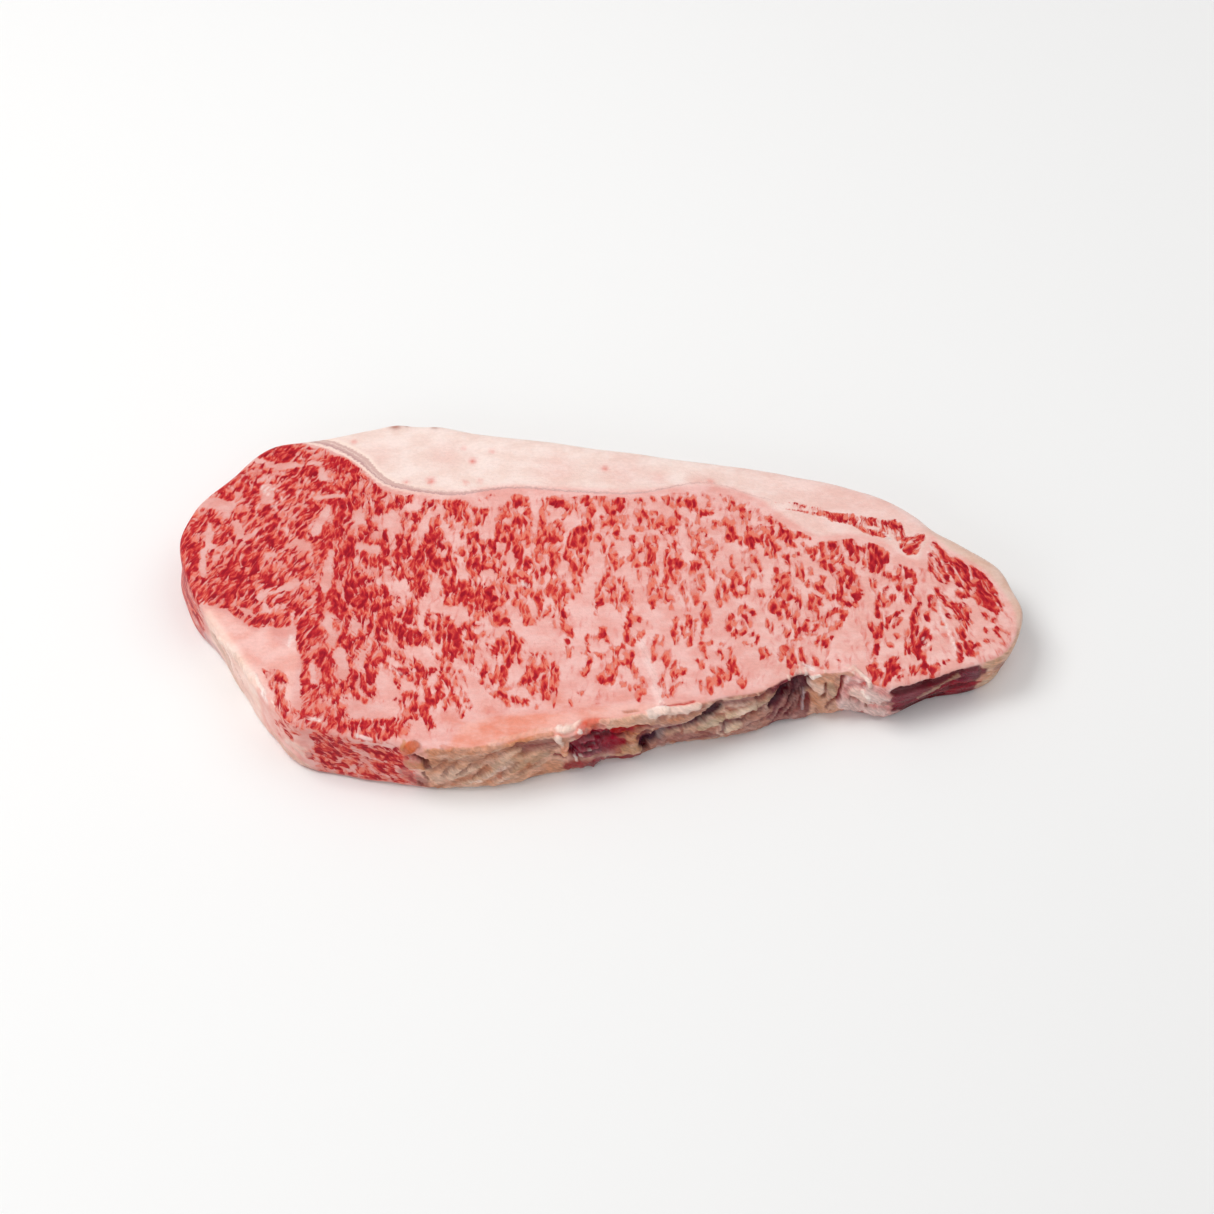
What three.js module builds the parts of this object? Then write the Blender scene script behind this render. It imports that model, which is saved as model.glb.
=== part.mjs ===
// A raw sirloin steak: one slice across a marbled striploin, lying flat on a cut face.
// Millimetres, +Z up. +X runs from the broad head to the narrow tail, +Y towards the fat cap.
// The origin is under the middle of the slice, on the face that it lies on.

import * as THREE from "three";
import { ParametricGeometry } from "three/addons/geometries/ParametricGeometry.js";
import { mergeGeometries, mergeVertices } from "three/addons/utils/BufferGeometryUtils.js";

const HEAD_THICKNESS = 19;
const TAIL_THICKNESS = 16;
const TAPER_FROM_X = 20;
const TAPER_TO_X = 112;

// The rim of the upper face, anticlockwise, in the four stretches of a striploin slice.
// Each stretch starts at a corner of the slice.
const CHINE_SIDE = [
  [-89.5, -51], [-72, -55.4], [-41, -60.6], [-14, -55.8], [10, -48.8], [31, -44],
  [45, -40.6], [54.5, -35.4], [70, -32.8], [83, -37], [101, -31.8],
];
const TAIL = [[118.2, -23.9], [124.4, -11], [121.5, 1.5]];
const FAT_CAP = [
  [117.5, 9.5], [107, 18], [100, 22], [95.5, 27], [86.5, 33.8], [60, 42.8],
  [12, 50.5], [-28, 57], [-62, 62], [-88, 56],
];
const HEAD = [
  [-101.5, 53], [-110.5, 42], [-122, 29.5], [-126, 17], [-122.5, -1.5], [-110.5, -20], [-98.5, -40],
];

// The edge between the upper face and the wall is rounder along the fat than along the cut meat.
const CUT_EDGE_RADIUS = 2;
const CAP_EDGE_RADIUS = 3.6;
const BOTTOM_EDGE_RADIUS = 1.4;
const NORMAL_REACH = 5;

// Bulges (out above 0) and hollows (out below 0) of the wall. along and up are half-widths.
const WALL_FORMS = [
  { name: "slumped foot of the lean", x: -70, y: -57, z: 0, along: 19, up: 9, out: 2.6 },
  { name: "brown knot", x: -51, y: -60, z: 11, along: 5, up: 6, out: 1.2 },
  { name: "foot of the tan face", x: -31, y: -60, z: 3, along: 14, up: 5, out: 1.3 },
  { name: "hollow under the rim", x: -26, y: -59, z: 12.5, along: 14, up: 4, out: -1.1 },
  { name: "fat knob", x: -9.5, y: -54.6, z: 17.5, along: 3.2, up: 3, out: 1.8 },
  { name: "wet pocket", x: -2, y: -52.6, z: 12, along: 5, up: 4, out: -2.8 },
  { name: "wet lobe", x: -4, y: -53.2, z: 4.5, along: 5, up: 4, out: 1.3 },
  { name: "rounded foot", x: 8, y: -49.6, z: 3.5, along: 5.5, up: 5, out: 1.9 },
  { name: "flap", x: 20, y: -46.5, z: 15, along: 9, up: 4, out: 1.5 },
  { name: "crease under the flap", x: 19, y: -46.7, z: 6, along: 5, up: 4, out: -1.5 },
  { name: "veined bulge", x: 38, y: -42.6, z: 5, along: 9, up: 5, out: 1.5 },
  { name: "dark recess", x: 55.5, y: -34.5, z: 11.5, along: 5, up: 4.5, out: -3.6 },
  { name: "foot of the recess", x: 57, y: -34.2, z: 1.5, along: 6, up: 4, out: 3 },
  { name: "tan lump", x: 67, y: -32.8, z: 6.5, along: 4.6, up: 7, out: 3.4 },
  { name: "pink fat lump", x: 79, y: -36, z: 9, along: 5.5, up: 6, out: 1.2 },
  { name: "undercut of the tail", x: 98, y: -33, z: 0, along: 12, up: 9, out: -3.6 },
  { name: "undercut of the tip", x: 123, y: -14, z: 0, along: 13, up: 9, out: -5 },
  { name: "slumped foot of the head", x: -126, y: 14, z: 2, along: 14, up: 7, out: 1.8 },
  { name: "dent below the fat wedge", x: -115, y: -13, z: 8, along: 7, up: 5, out: -0.9 },
  { name: "first bead of the cap", x: -63.5, y: 60, z: 16, along: 3.4, up: 3.5, out: 1.6 },
  { name: "second bead of the cap", x: -50, y: 59, z: 16, along: 4, up: 3.5, out: 0.9 },
  { name: "swell of the cap", x: -20, y: 54, z: 9, along: 60, up: 7, out: 1.4 },
];

// Gentle swells and dips of the upper face.
const FACE_FORMS = [
  { name: "sag of the fat wedge", x: -112, y: -22, reach: 13, lift: -1.6 },
  { name: "lower left muscle", x: -93, y: -36, reach: 9, lift: -0.5 },
  { name: "swell of the head", x: -85, y: 10, reach: 26, lift: 0.6 },
  { name: "peach band", x: -22, y: -54, reach: 12, lift: -0.7 },
  { name: "swell of the eye", x: 5, y: -8, reach: 40, lift: 0.5 },
  { name: "dip by the recess", x: 60, y: -30, reach: 9, lift: -0.8 },
  { name: "glossy corner of the tail", x: 120, y: 2, reach: 9, lift: -1 },
  { name: "root of the cap", x: -84, y: 47, reach: 8, lift: -0.6 },
];
const CAP_SLOPE = 0.8;
const CAP_WIDTH = 16;

// Mesh: cells along and across the faces, and the bands of the wall between its two rounded edges.
const CELLS_ALONG = 70;
const CELLS_ACROSS = 24;
const WALL_BANDS = 6;
const TOP_ARC = [Math.PI / 6, Math.PI / 3, Math.PI / 2];
const BOTTOM_ARC = [Math.PI / 2, Math.PI / 4];

const corners = [CHINE_SIDE, TAIL, FAT_CAP, HEAD];
const rim = new THREE.CatmullRomCurve3(
  corners.flat().map(([x, y]) => new THREE.Vector3(x, y, 0)),
  true,
);
const RIM_STEPS_PER_POINT = 24;
const rimPoints = corners.flat().length;
rim.arcLengthDivisions = rimPoints * RIM_STEPS_PER_POINT;
const rimLengths = rim.getLengths();
const rimLength = rimLengths.at(-1);

// Where each stretch starts, as a share of the rim's length.
const cornerShares = corners.map((_, i) => {
  const pointsBefore = corners.slice(0, i).flat().length;
  return rimLengths[pointsBefore * RIM_STEPS_PER_POINT] / rimLength;
});
cornerShares.push(1);

const wrap = (share) => ((share % 1) + 1) % 1;
const bell = (distance) => Math.exp(-distance * distance);

function outwardNormal(share) {
  const reach = NORMAL_REACH / rimLength;
  const along = rim.getPointAt(wrap(share + reach)).sub(rim.getPointAt(wrap(share - reach)));
  return new THREE.Vector3(along.y, -along.x, 0).normalize();
}

// 1 on the fat cap, 0 on the cut meat, with a soft change between them.
function capShare(share) {
  const [, , capStart, headStart] = cornerShares;
  const soft = 0.02;
  const rises = THREE.MathUtils.smoothstep(share, capStart - soft, capStart + soft);
  const falls = THREE.MathUtils.smoothstep(share, headStart - soft, headStart + soft);
  return rises - falls;
}

function thickness(x) {
  const taper = THREE.MathUtils.smoothstep(x, TAPER_FROM_X, TAPER_TO_X);
  return THREE.MathUtils.lerp(HEAD_THICKNESS, TAIL_THICKNESS, taper);
}

// Long low waves that no cut face is free of.
function faceWaves(x, y) {
  return 0.22 * Math.sin(x / 13 + y / 21) + 0.18 * Math.sin(y / 9 - x / 31 + 1.3);
}

// The cut meat of the wall is wavier than the fat cap's outer skin.
function wallWaves(share, z) {
  const turn = share * 2 * Math.PI;
  const height = THREE.MathUtils.lerp(0.27, 0.12, capShare(wrap(share)));
  return height * (Math.sin(turn * 19 + z / 4) + 0.8 * Math.sin(turn * 31 - z / 3 + 0.7));
}

// How far below the face the cap has sloped off, at a point of the upper face.
function capDrop(x, y) {
  const backEdge = THREE.MathUtils.lerp(62, 43, THREE.MathUtils.clamp((x + 64) / 124, 0, 1));
  return CAP_SLOPE * THREE.MathUtils.smoothstep(y, backEdge - CAP_WIDTH, backEdge + 2);
}

function faceHeight(x, y) {
  const forms = FACE_FORMS.reduce(
    (sum, f) => sum + f.lift * bell(Math.hypot(x - f.x, y - f.y) / f.reach),
    0,
  );
  return thickness(x) + faceWaves(x, y) + forms - capDrop(x, y);
}

function wallRelief(point, share, z) {
  const forms = WALL_FORMS.reduce((sum, f) => {
    const along = bell(Math.hypot(point.x - f.x, point.y - f.y) / f.along);
    return sum + f.out * along * bell((z - f.z) / f.up);
  }, 0);
  return forms + wallWaves(share, z);
}

// The wall's outline from its inner edge on the bottom (step 0) to its inner edge on top.
function wallStep(share, step) {
  const point = rim.getPointAt(wrap(share));
  const normal = outwardNormal(share);
  const topRadius = THREE.MathUtils.lerp(CUT_EDGE_RADIUS, CAP_EDGE_RADIUS, capShare(wrap(share)));
  const inner = point.clone().addScaledVector(normal, -topRadius);
  const top = faceHeight(inner.x, inner.y);
  const wallStart = BOTTOM_ARC.length;
  const wallEnd = wallStart + WALL_BANDS;
  let out = 0;
  let z;
  if (step < wallStart) {
    const angle = BOTTOM_ARC[step];
    out = BOTTOM_EDGE_RADIUS * (Math.cos(angle) - 1);
    z = BOTTOM_EDGE_RADIUS * (1 - Math.sin(angle));
  } else if (step <= wallEnd) {
    z = THREE.MathUtils.lerp(BOTTOM_EDGE_RADIUS, top - topRadius, (step - wallStart) / WALL_BANDS);
  } else {
    const angle = TOP_ARC[step - wallEnd - 1];
    out = topRadius * (Math.cos(angle) - 1);
    z = top - topRadius * (1 - Math.sin(angle));
  }
  out += wallRelief(point, share, z);
  return point.addScaledVector(normal, out).setZ(z);
}

const wallSteps = BOTTOM_ARC.length + WALL_BANDS + TOP_ARC.length;
const columns = 2 * (CELLS_ALONG + CELLS_ACROSS);

// The rim's share at a column of the wall: each stretch has its own even spacing.
function columnShare(column) {
  const cells = [CELLS_ALONG, CELLS_ACROSS, CELLS_ALONG, CELLS_ACROSS];
  let first = 0;
  for (let i = 0; i < cells.length; i++) {
    if (column <= first + cells[i]) {
      return THREE.MathUtils.lerp(cornerShares[i], cornerShares[i + 1], (column - first) / cells[i]);
    }
    first += cells[i];
  }
  return 1;
}

// A face is a Coons patch: each point is blended from the four edges round it.
function facePoint(u, v, step) {
  const edge = (column) => wallStep(columnShare(column), step);
  const chine = edge(u * CELLS_ALONG);
  const cap = edge(2 * CELLS_ALONG + CELLS_ACROSS - u * CELLS_ALONG);
  const tail = edge(CELLS_ALONG + v * CELLS_ACROSS);
  const head = edge(columns - v * CELLS_ACROSS);
  const corner = [
    edge(0),
    edge(CELLS_ALONG),
    edge(2 * CELLS_ALONG + CELLS_ACROSS),
    edge(CELLS_ALONG + CELLS_ACROSS),
  ];
  return new THREE.Vector3()
    .addScaledVector(chine, 1 - v)
    .addScaledVector(cap, v)
    .addScaledVector(head, 1 - u)
    .addScaledVector(tail, u)
    .addScaledVector(corner[0], -(1 - u) * (1 - v))
    .addScaledVector(corner[1], -u * (1 - v))
    .addScaledVector(corner[2], -(1 - u) * v)
    .addScaledVector(corner[3], -u * v);
}

// The upper face takes its own height inside the rim, fading to the rim's height at its edge.
function upperFace(u, v, target) {
  const point = facePoint(u, v, wallSteps);
  const fromEdge = Math.min(u, 1 - u, v, 1 - v) * CELLS_ACROSS;
  const inside = THREE.MathUtils.smoothstep(fromEdge, 0, 3);
  target.copy(point).setZ(THREE.MathUtils.lerp(point.z, faceHeight(point.x, point.y), inside));
}

function lowerFace(u, v, target) {
  target.copy(facePoint(1 - u, v, 0)).setZ(0);
}

function wall(u, v, target) {
  target.copy(wallStep(columnShare(u * columns), Math.round(v * wallSteps)));
}

const MERGE_DISTANCE = 1e-3;

function steakGeometry() {
  const shells = [
    new ParametricGeometry(upperFace, CELLS_ALONG, CELLS_ACROSS),
    new ParametricGeometry(lowerFace, CELLS_ALONG, CELLS_ACROSS),
    new ParametricGeometry(wall, columns, wallSteps),
  ];
  shells.forEach((shell) => shell.deleteAttribute("normal").deleteAttribute("uv"));
  const closed = mergeVertices(mergeGeometries(shells), MERGE_DISTANCE);
  closed.computeBoundingBox();
  const middle = closed.boundingBox.getCenter(new THREE.Vector3());
  closed.translate(-middle.x, -middle.y, 0);
  closed.computeVertexNormals();
  return closed;
}

const marbledBeef = new THREE.MeshStandardMaterial({
  color: 0xd98b88,
  roughness: 0.45,
  metalness: 0,
});

const steak = new THREE.Mesh(steakGeometry(), marbledBeef);
steak.name = "steak";

const sirloinSteak = new THREE.Group();
sirloinSteak.add(steak);

export default sirloinSteak;
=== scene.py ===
# A raw sirloin steak: one slice across a heavily marbled striploin, lying on its lower cut face.
# +X runs from the broad head to the narrow tail, +Y towards the fat cap. Lengths named _MM are millimetres.

import itertools
import math

import bmesh
import bpy
import numpy as np
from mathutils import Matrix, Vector


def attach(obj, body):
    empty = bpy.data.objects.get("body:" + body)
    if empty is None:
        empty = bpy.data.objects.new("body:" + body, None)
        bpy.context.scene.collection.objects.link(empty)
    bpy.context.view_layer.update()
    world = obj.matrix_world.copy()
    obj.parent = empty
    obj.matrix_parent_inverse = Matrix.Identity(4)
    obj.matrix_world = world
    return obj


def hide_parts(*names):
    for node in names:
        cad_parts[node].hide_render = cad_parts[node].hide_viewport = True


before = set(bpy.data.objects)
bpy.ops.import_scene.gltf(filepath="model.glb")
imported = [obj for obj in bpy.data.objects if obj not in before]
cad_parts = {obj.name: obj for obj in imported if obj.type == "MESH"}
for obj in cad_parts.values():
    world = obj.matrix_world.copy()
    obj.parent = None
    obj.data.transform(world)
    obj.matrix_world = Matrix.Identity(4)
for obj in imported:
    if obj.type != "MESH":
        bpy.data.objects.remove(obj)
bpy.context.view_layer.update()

# ---------------------------------------------------------------------------------------------
# The view: a long lens that looks down on the lying slice from the side of the chine wall.

MM = 0.001
VIEW_ELEVATION = math.radians(53)
VIEW_DISTANCE_MM = 900
VIEW_TARGET_MM = Vector((3.15, -3.17, 9))
LENS_MM = 89.67

toward_camera = Vector((0, -math.cos(VIEW_ELEVATION), math.sin(VIEW_ELEVATION)))
camera_data = bpy.data.cameras.new("camera")
camera_data.lens = LENS_MM
camera_data.clip_start = 0.01
camera = bpy.data.objects.new("camera", camera_data)
camera.location = (VIEW_TARGET_MM + toward_camera * VIEW_DISTANCE_MM) * MM
camera.rotation_euler = toward_camera.to_track_quat("Z", "Y").to_euler()
bpy.context.scene.collection.objects.link(camera)
bpy.context.scene.camera = camera

# ---------------------------------------------------------------------------------------------
# The slice, its form. Raw flesh is soft: the knife leaves the two faces nearly flat, and the
# wall of the chine side is torn, folded and dried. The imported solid's faces are rounded here,
# and then the finer relief of the wall and the rim is pressed into them.

SMOOTHING_LEVELS = 2
MERGE_DISTANCE = 1e-5
FLAT_WITHIN_MM = 0.01
FRONT_WALL_BEFORE_MM = -15

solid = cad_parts["steak"]
rounded = bmesh.new()
rounded.from_mesh(solid.data)
bmesh.ops.remove_doubles(rounded, verts=rounded.verts, dist=MERGE_DISTANCE)
bmesh.ops.join_triangles(
    rounded, faces=rounded.faces, angle_face_threshold=math.pi, angle_shape_threshold=math.pi
)
coarse_mesh = bpy.data.meshes.new("coarse_flesh")
rounded.to_mesh(coarse_mesh)
rounded.free()
coarse = bpy.data.objects.new("coarse_flesh", coarse_mesh)
bpy.context.scene.collection.objects.link(coarse)
smoothing = coarse.modifiers.new("smoothing", "SUBSURF")
smoothing.levels = SMOOTHING_LEVELS
flesh = bpy.data.meshes.new_from_object(coarse.evaluated_get(bpy.context.evaluated_depsgraph_get()))
flesh.name = "marbled_slice"
bpy.data.objects.remove(coarse)

# The flat underside needs fewer faces, and the torn wall needs more along its length.
dense = bmesh.new()
dense.from_mesh(flesh)
dense.normal_update()
underside = [
    point for point in dense.verts if point.co.z < FLAT_WITHIN_MM * MM and point.normal.z < -0.999
]
bmesh.ops.unsubdivide(dense, verts=underside, iterations=2)
dense.normal_update()
level_edges = set()
for face in dense.faces:
    before = face.calc_center_median().y < FRONT_WALL_BEFORE_MM * MM
    if before and face.normal.y < -0.2 and abs(face.normal.z) < 0.95:
        for edge in face.edges:
            if abs(edge.verts[0].co.z - edge.verts[1].co.z) < 0.5 * edge.calc_length():
                level_edges.add(edge)
bmesh.ops.subdivide_edges(dense, edges=list(level_edges), cuts=1, use_grid_fill=True)
bmesh.ops.triangulate(dense, faces=[face for face in dense.faces if len(face.verts) > 4])
bmesh.ops.recalc_face_normals(dense, faces=dense.faces)
dense.to_mesh(flesh)
dense.free()
steak = bpy.data.objects.new("marbled_slice", flesh)
bpy.context.scene.collection.objects.link(steak)


def read_vectors(items, name):
    values = np.empty(len(items) * 3, np.float32)
    items.foreach_get(name, values)
    return values.reshape(-1, 3).astype(float)


def soft_step(value, low, high):
    """0 below low, 1 above high, and an eased change between them."""
    share = np.clip((value - low) / (high - low), 0, 1)
    return share * share * (3 - 2 * share)


def bell(distance):
    return np.exp(-distance * distance)


LATTICE = 32


def lumps(points, seed):
    """Smooth random heights from -1 to 1, with one lump to each unit of the points' space."""
    lattice = np.random.default_rng(seed).uniform(-1, 1, (LATTICE, LATTICE, LATTICE))
    cell = np.floor(points).astype(int)
    share = soft_step(points - cell, 0, 1)
    height = np.zeros(len(points))
    for corner in itertools.product((0, 1), repeat=3):
        at = (cell + corner) % LATTICE
        weight = np.prod(np.where(corner, share, 1 - share), axis=1)
        height += weight * lattice[at[:, 0], at[:, 1], at[:, 2]]
    return height


place = read_vectors(flesh.vertices, "co") / MM
normal = read_vectors(flesh.vertices, "normal")
x, y, z = place.T
face_up = soft_step(normal[:, 2], 0.35, 0.8)
face_down = soft_step(-normal[:, 2], 0.5, 0.9)
wall = 1 - face_up - face_down
front = soft_step(-normal[:, 1], 0.1, 0.5) * wall

TURN_STEPS = 720
turn = np.arctan2(y, x)
bins = np.linspace(-math.pi, math.pi, TURN_STEPS + 1)
middles = (bins[1:] + bins[:-1]) / 2


def ring_through(chosen):
    """The line round the slice, in plan, that runs through the middle of the chosen points."""
    step = np.digitize(turn[chosen], bins) - 1
    count = np.maximum(np.bincount(step, minlength=TURN_STEPS), 1)
    reach = np.bincount(step, np.hypot(x, y)[chosen], TURN_STEPS) / count
    reach = np.interp(middles, middles[reach > 0], reach[reach > 0])
    return np.stack([reach * np.cos(middles), reach * np.sin(middles)], axis=1)


# Where each point lies round the rim: a length from the head's end, negative along the back.
ring = ring_through(wall > 0.8)
ring_step = np.hypot(*np.diff(ring, axis=0, append=ring[:1]).T)
round_length = np.concatenate([[0], np.cumsum(ring_step)])
RIM_LENGTH_MM = round_length[-1]
FRONT_LENGTH_MM = np.interp(0, bins, round_length)
rim_at = np.interp(turn, bins, round_length)
rim_at -= RIM_LENGTH_MM * (y > 0)


def distance_to_line(line, closed=False):
    """How far each vertex is, in plan, from a chain of points, and its share along the chain."""
    chain = np.array(list(line) + ([line[0]] if closed else []), float)
    best = np.full(len(x), np.inf)
    at = np.zeros(len(x))
    for step, (start, end) in enumerate(zip(chain[:-1], chain[1:])):
        run = end - start
        share = np.clip(((x - start[0]) * run[0] + (y - start[1]) * run[1]) / (run @ run), 0, 1)
        distance = np.hypot(x - start[0] - share * run[0], y - start[1] - share * run[1])
        nearer = distance < best
        best = np.where(nearer, distance, best)
        at = np.where(nearer, step + share, at)
    return best, at


# Height up the wall, carried on over the rim and inwards across the top face.
rim_line = ring_through((normal[:, 2] > 0.2) & (normal[:, 2] < 0.7) & (z > 10))[::3]
rim_gap = distance_to_line(rim_line, closed=True)[0]
up = z + face_up * rim_gap

# The wall's zones meet along torn lines.
torn_x = x + 1.6 * lumps(place / 4.4, 31) + 0.8 * lumps(place / 1.6, 32)
near_x = x + 0.5 * lumps(place / 2.2, 35) + 0.25 * lumps(place / 0.9, 36)
near_up = up + 0.5 * lumps(place / 2.2, 37) + 0.25 * lumps(place / 0.9, 38)
front_side = soft_step(-y, 3, 9) * (1 - face_down)


def zone(start, end, soft=1.5):
    return soft_step(torn_x, start - soft, start + soft) * (1 - soft_step(torn_x, end - soft, end + soft))


def wall_distance(x0, up0, x1, up1):
    """How far each point is from a short line that is drawn on the front wall."""
    run, rise = x1 - x0, up1 - up0
    share = np.clip(((near_x - x0) * run + (near_up - up0) * rise) / (run * run + rise * rise), 0, 1)
    return np.hypot(near_x - x0 - share * run, near_up - up0 - share * rise)


def stroke(x0, up0, x1, up1, half_width):
    """1 along a short mark on the front wall, with a quick but uneven fall at its edge."""
    return soft_step(1.25 - wall_distance(x0, up0, x1, up1) / half_width, 0, 0.5) * front_side


oblique = np.stack([(rim_at - 1.6 * z) / 2.2, (z + 0.4 * rim_at) / 9, x * 0], axis=1)
fine_oblique = np.stack([(rim_at - 1.4 * z) / 0.9, (z + 0.4 * rim_at) / 5, x * 0], axis=1)
folds = np.stack([(x + 0.25 * z) / 1.9, z / 9, x * 0], axis=1)
level = np.stack([rim_at / 9, z / 1.5, x * 0], axis=1)
crumple = np.stack([lumps(place / 3, 40) * 2 + x / 2.4, lumps(place / 3, 41) * 2 + z / 2, y / 3], axis=1)

tan_face = zone(-50, -8, 2)
pocket = zone(-8, 3.5, 1)
beside_pocket = zone(-8, 15, 2)
veined = zone(15, 50)
recess = zone(50, 61, 1.5)
tan_lump = zone(61, 71, 0.8)
pink_lumps = zone(71, 86, 1)
undercut = zone(86, 112, 1)
tip = zone(113, 140)

out = np.zeros(len(x))
out += front * tan_face * (0.35 * lumps(oblique, 3) + 0.2 * lumps(fine_oblique, 4))
out += front * pocket * (0.5 * lumps(crumple, 5) + 0.35 * lumps(place / 1.1, 6))
out += front * (beside_pocket + veined) * (0.3 * lumps(crumple, 7) + 0.25 * lumps(place / 1.3, 8))
out += front * recess * (0.5 * lumps(folds, 9) + 0.2 * lumps(place / 1, 19))
out += front * (tan_lump + pink_lumps) * (0.3 * lumps(crumple, 10) + 0.3 * lumps(place / 1.2, 11))
out += front * undercut * (0.3 * lumps(level, 12) + 0.12 * lumps(level * (2, 2, 1), 13))
out += front * zone(-96, -52) * 0.25 * lumps(place / 2.8, 14)
out += (wall - front).clip(0) * 0.22 * lumps(place / (7, 7, 4), 15)

# The marks of the chine wall, from the head to the tail. Each is a fold, knob, ridge or crease, and some are
# painted light: the GLINT marks and the small white ones are painted glints, and the darkest colours in
# hollows, clefts, creases, notches, the recess and the undercut are painted shade. x0, up0, x1, up1,
# half-width, rise, colour, and how much of the colour it takes.
WHITE_FAT_AND_GLINT, CREAM, PALE_PINK, PALE_ROSE = (249, 228, 218), (248, 216, 202), (244, 208, 198), (228, 194, 188)
FOOT_MAUVE, FOOT_BEIGE, FOOT_RED, SWIRL = (214, 176, 176), (224, 186, 170), (150, 52, 60), (206, 160, 148)
KNOB_ORANGE, KNOB_TAN, KNOT_DARK, KNOT_BROWN = (208, 114, 84), (206, 146, 116), (104, 38, 40), (152, 92, 80)
RIM_ORANGE, RIM_TAN, LIP_PALE, TAN_GREY = (214, 148, 118), (204, 146, 122), (240, 186, 168), (186, 138, 118)
HOLLOW_SHADE, HOLLOW_DEEP_SHADE, HOLLOW_PURPLE_SHADE, CLEFT_SHADE = (172, 118, 102), (152, 94, 88), (134, 68, 76), (172, 118, 100)
FIBRE_CREAM, FIBRE_OLIVE = (222, 184, 160), (194, 156, 132)
SPOT_ORANGE, SPOT_BROWN = (192, 112, 84), (122, 70, 64)
DROP, DROP_TIP, LIP_RED, LIP_DARK = (240, 160, 130), (252, 198, 166), (222, 108, 90), (204, 78, 72)
POCKET_RED, POCKET_MAUVE, POCKET_LIGHT, DEEP_SHADE = (162, 34, 54), (140, 36, 56), (190, 112, 120), (92, 8, 24)
RED_LINE, CREASE_PURPLE_SHADE, CREASE_DARKEST_SHADE, CREASE_MAUVE_SHADE = (196, 60, 58), (74, 14, 42), (62, 8, 26), (98, 34, 60)
BESIDE, BESIDE_OLIVE, FLAP, GLINT = (216, 158, 126), (206, 158, 124), (232, 186, 164), (206, 178, 182)
VEIN, VEIN_SOFT, OLIVE, BEIGE = (134, 74, 74), (166, 112, 104), (208, 176, 150), (226, 194, 170)
BROWN_PINK, STRAND, RECESS_DEEP_SHADE = (190, 140, 126), (182, 130, 122), (92, 16, 34)
WINE, WINE_SHADE, WINE_MAUVE, PURPLE = (146, 24, 42), (92, 6, 22), (130, 44, 58), (116, 28, 50)
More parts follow.
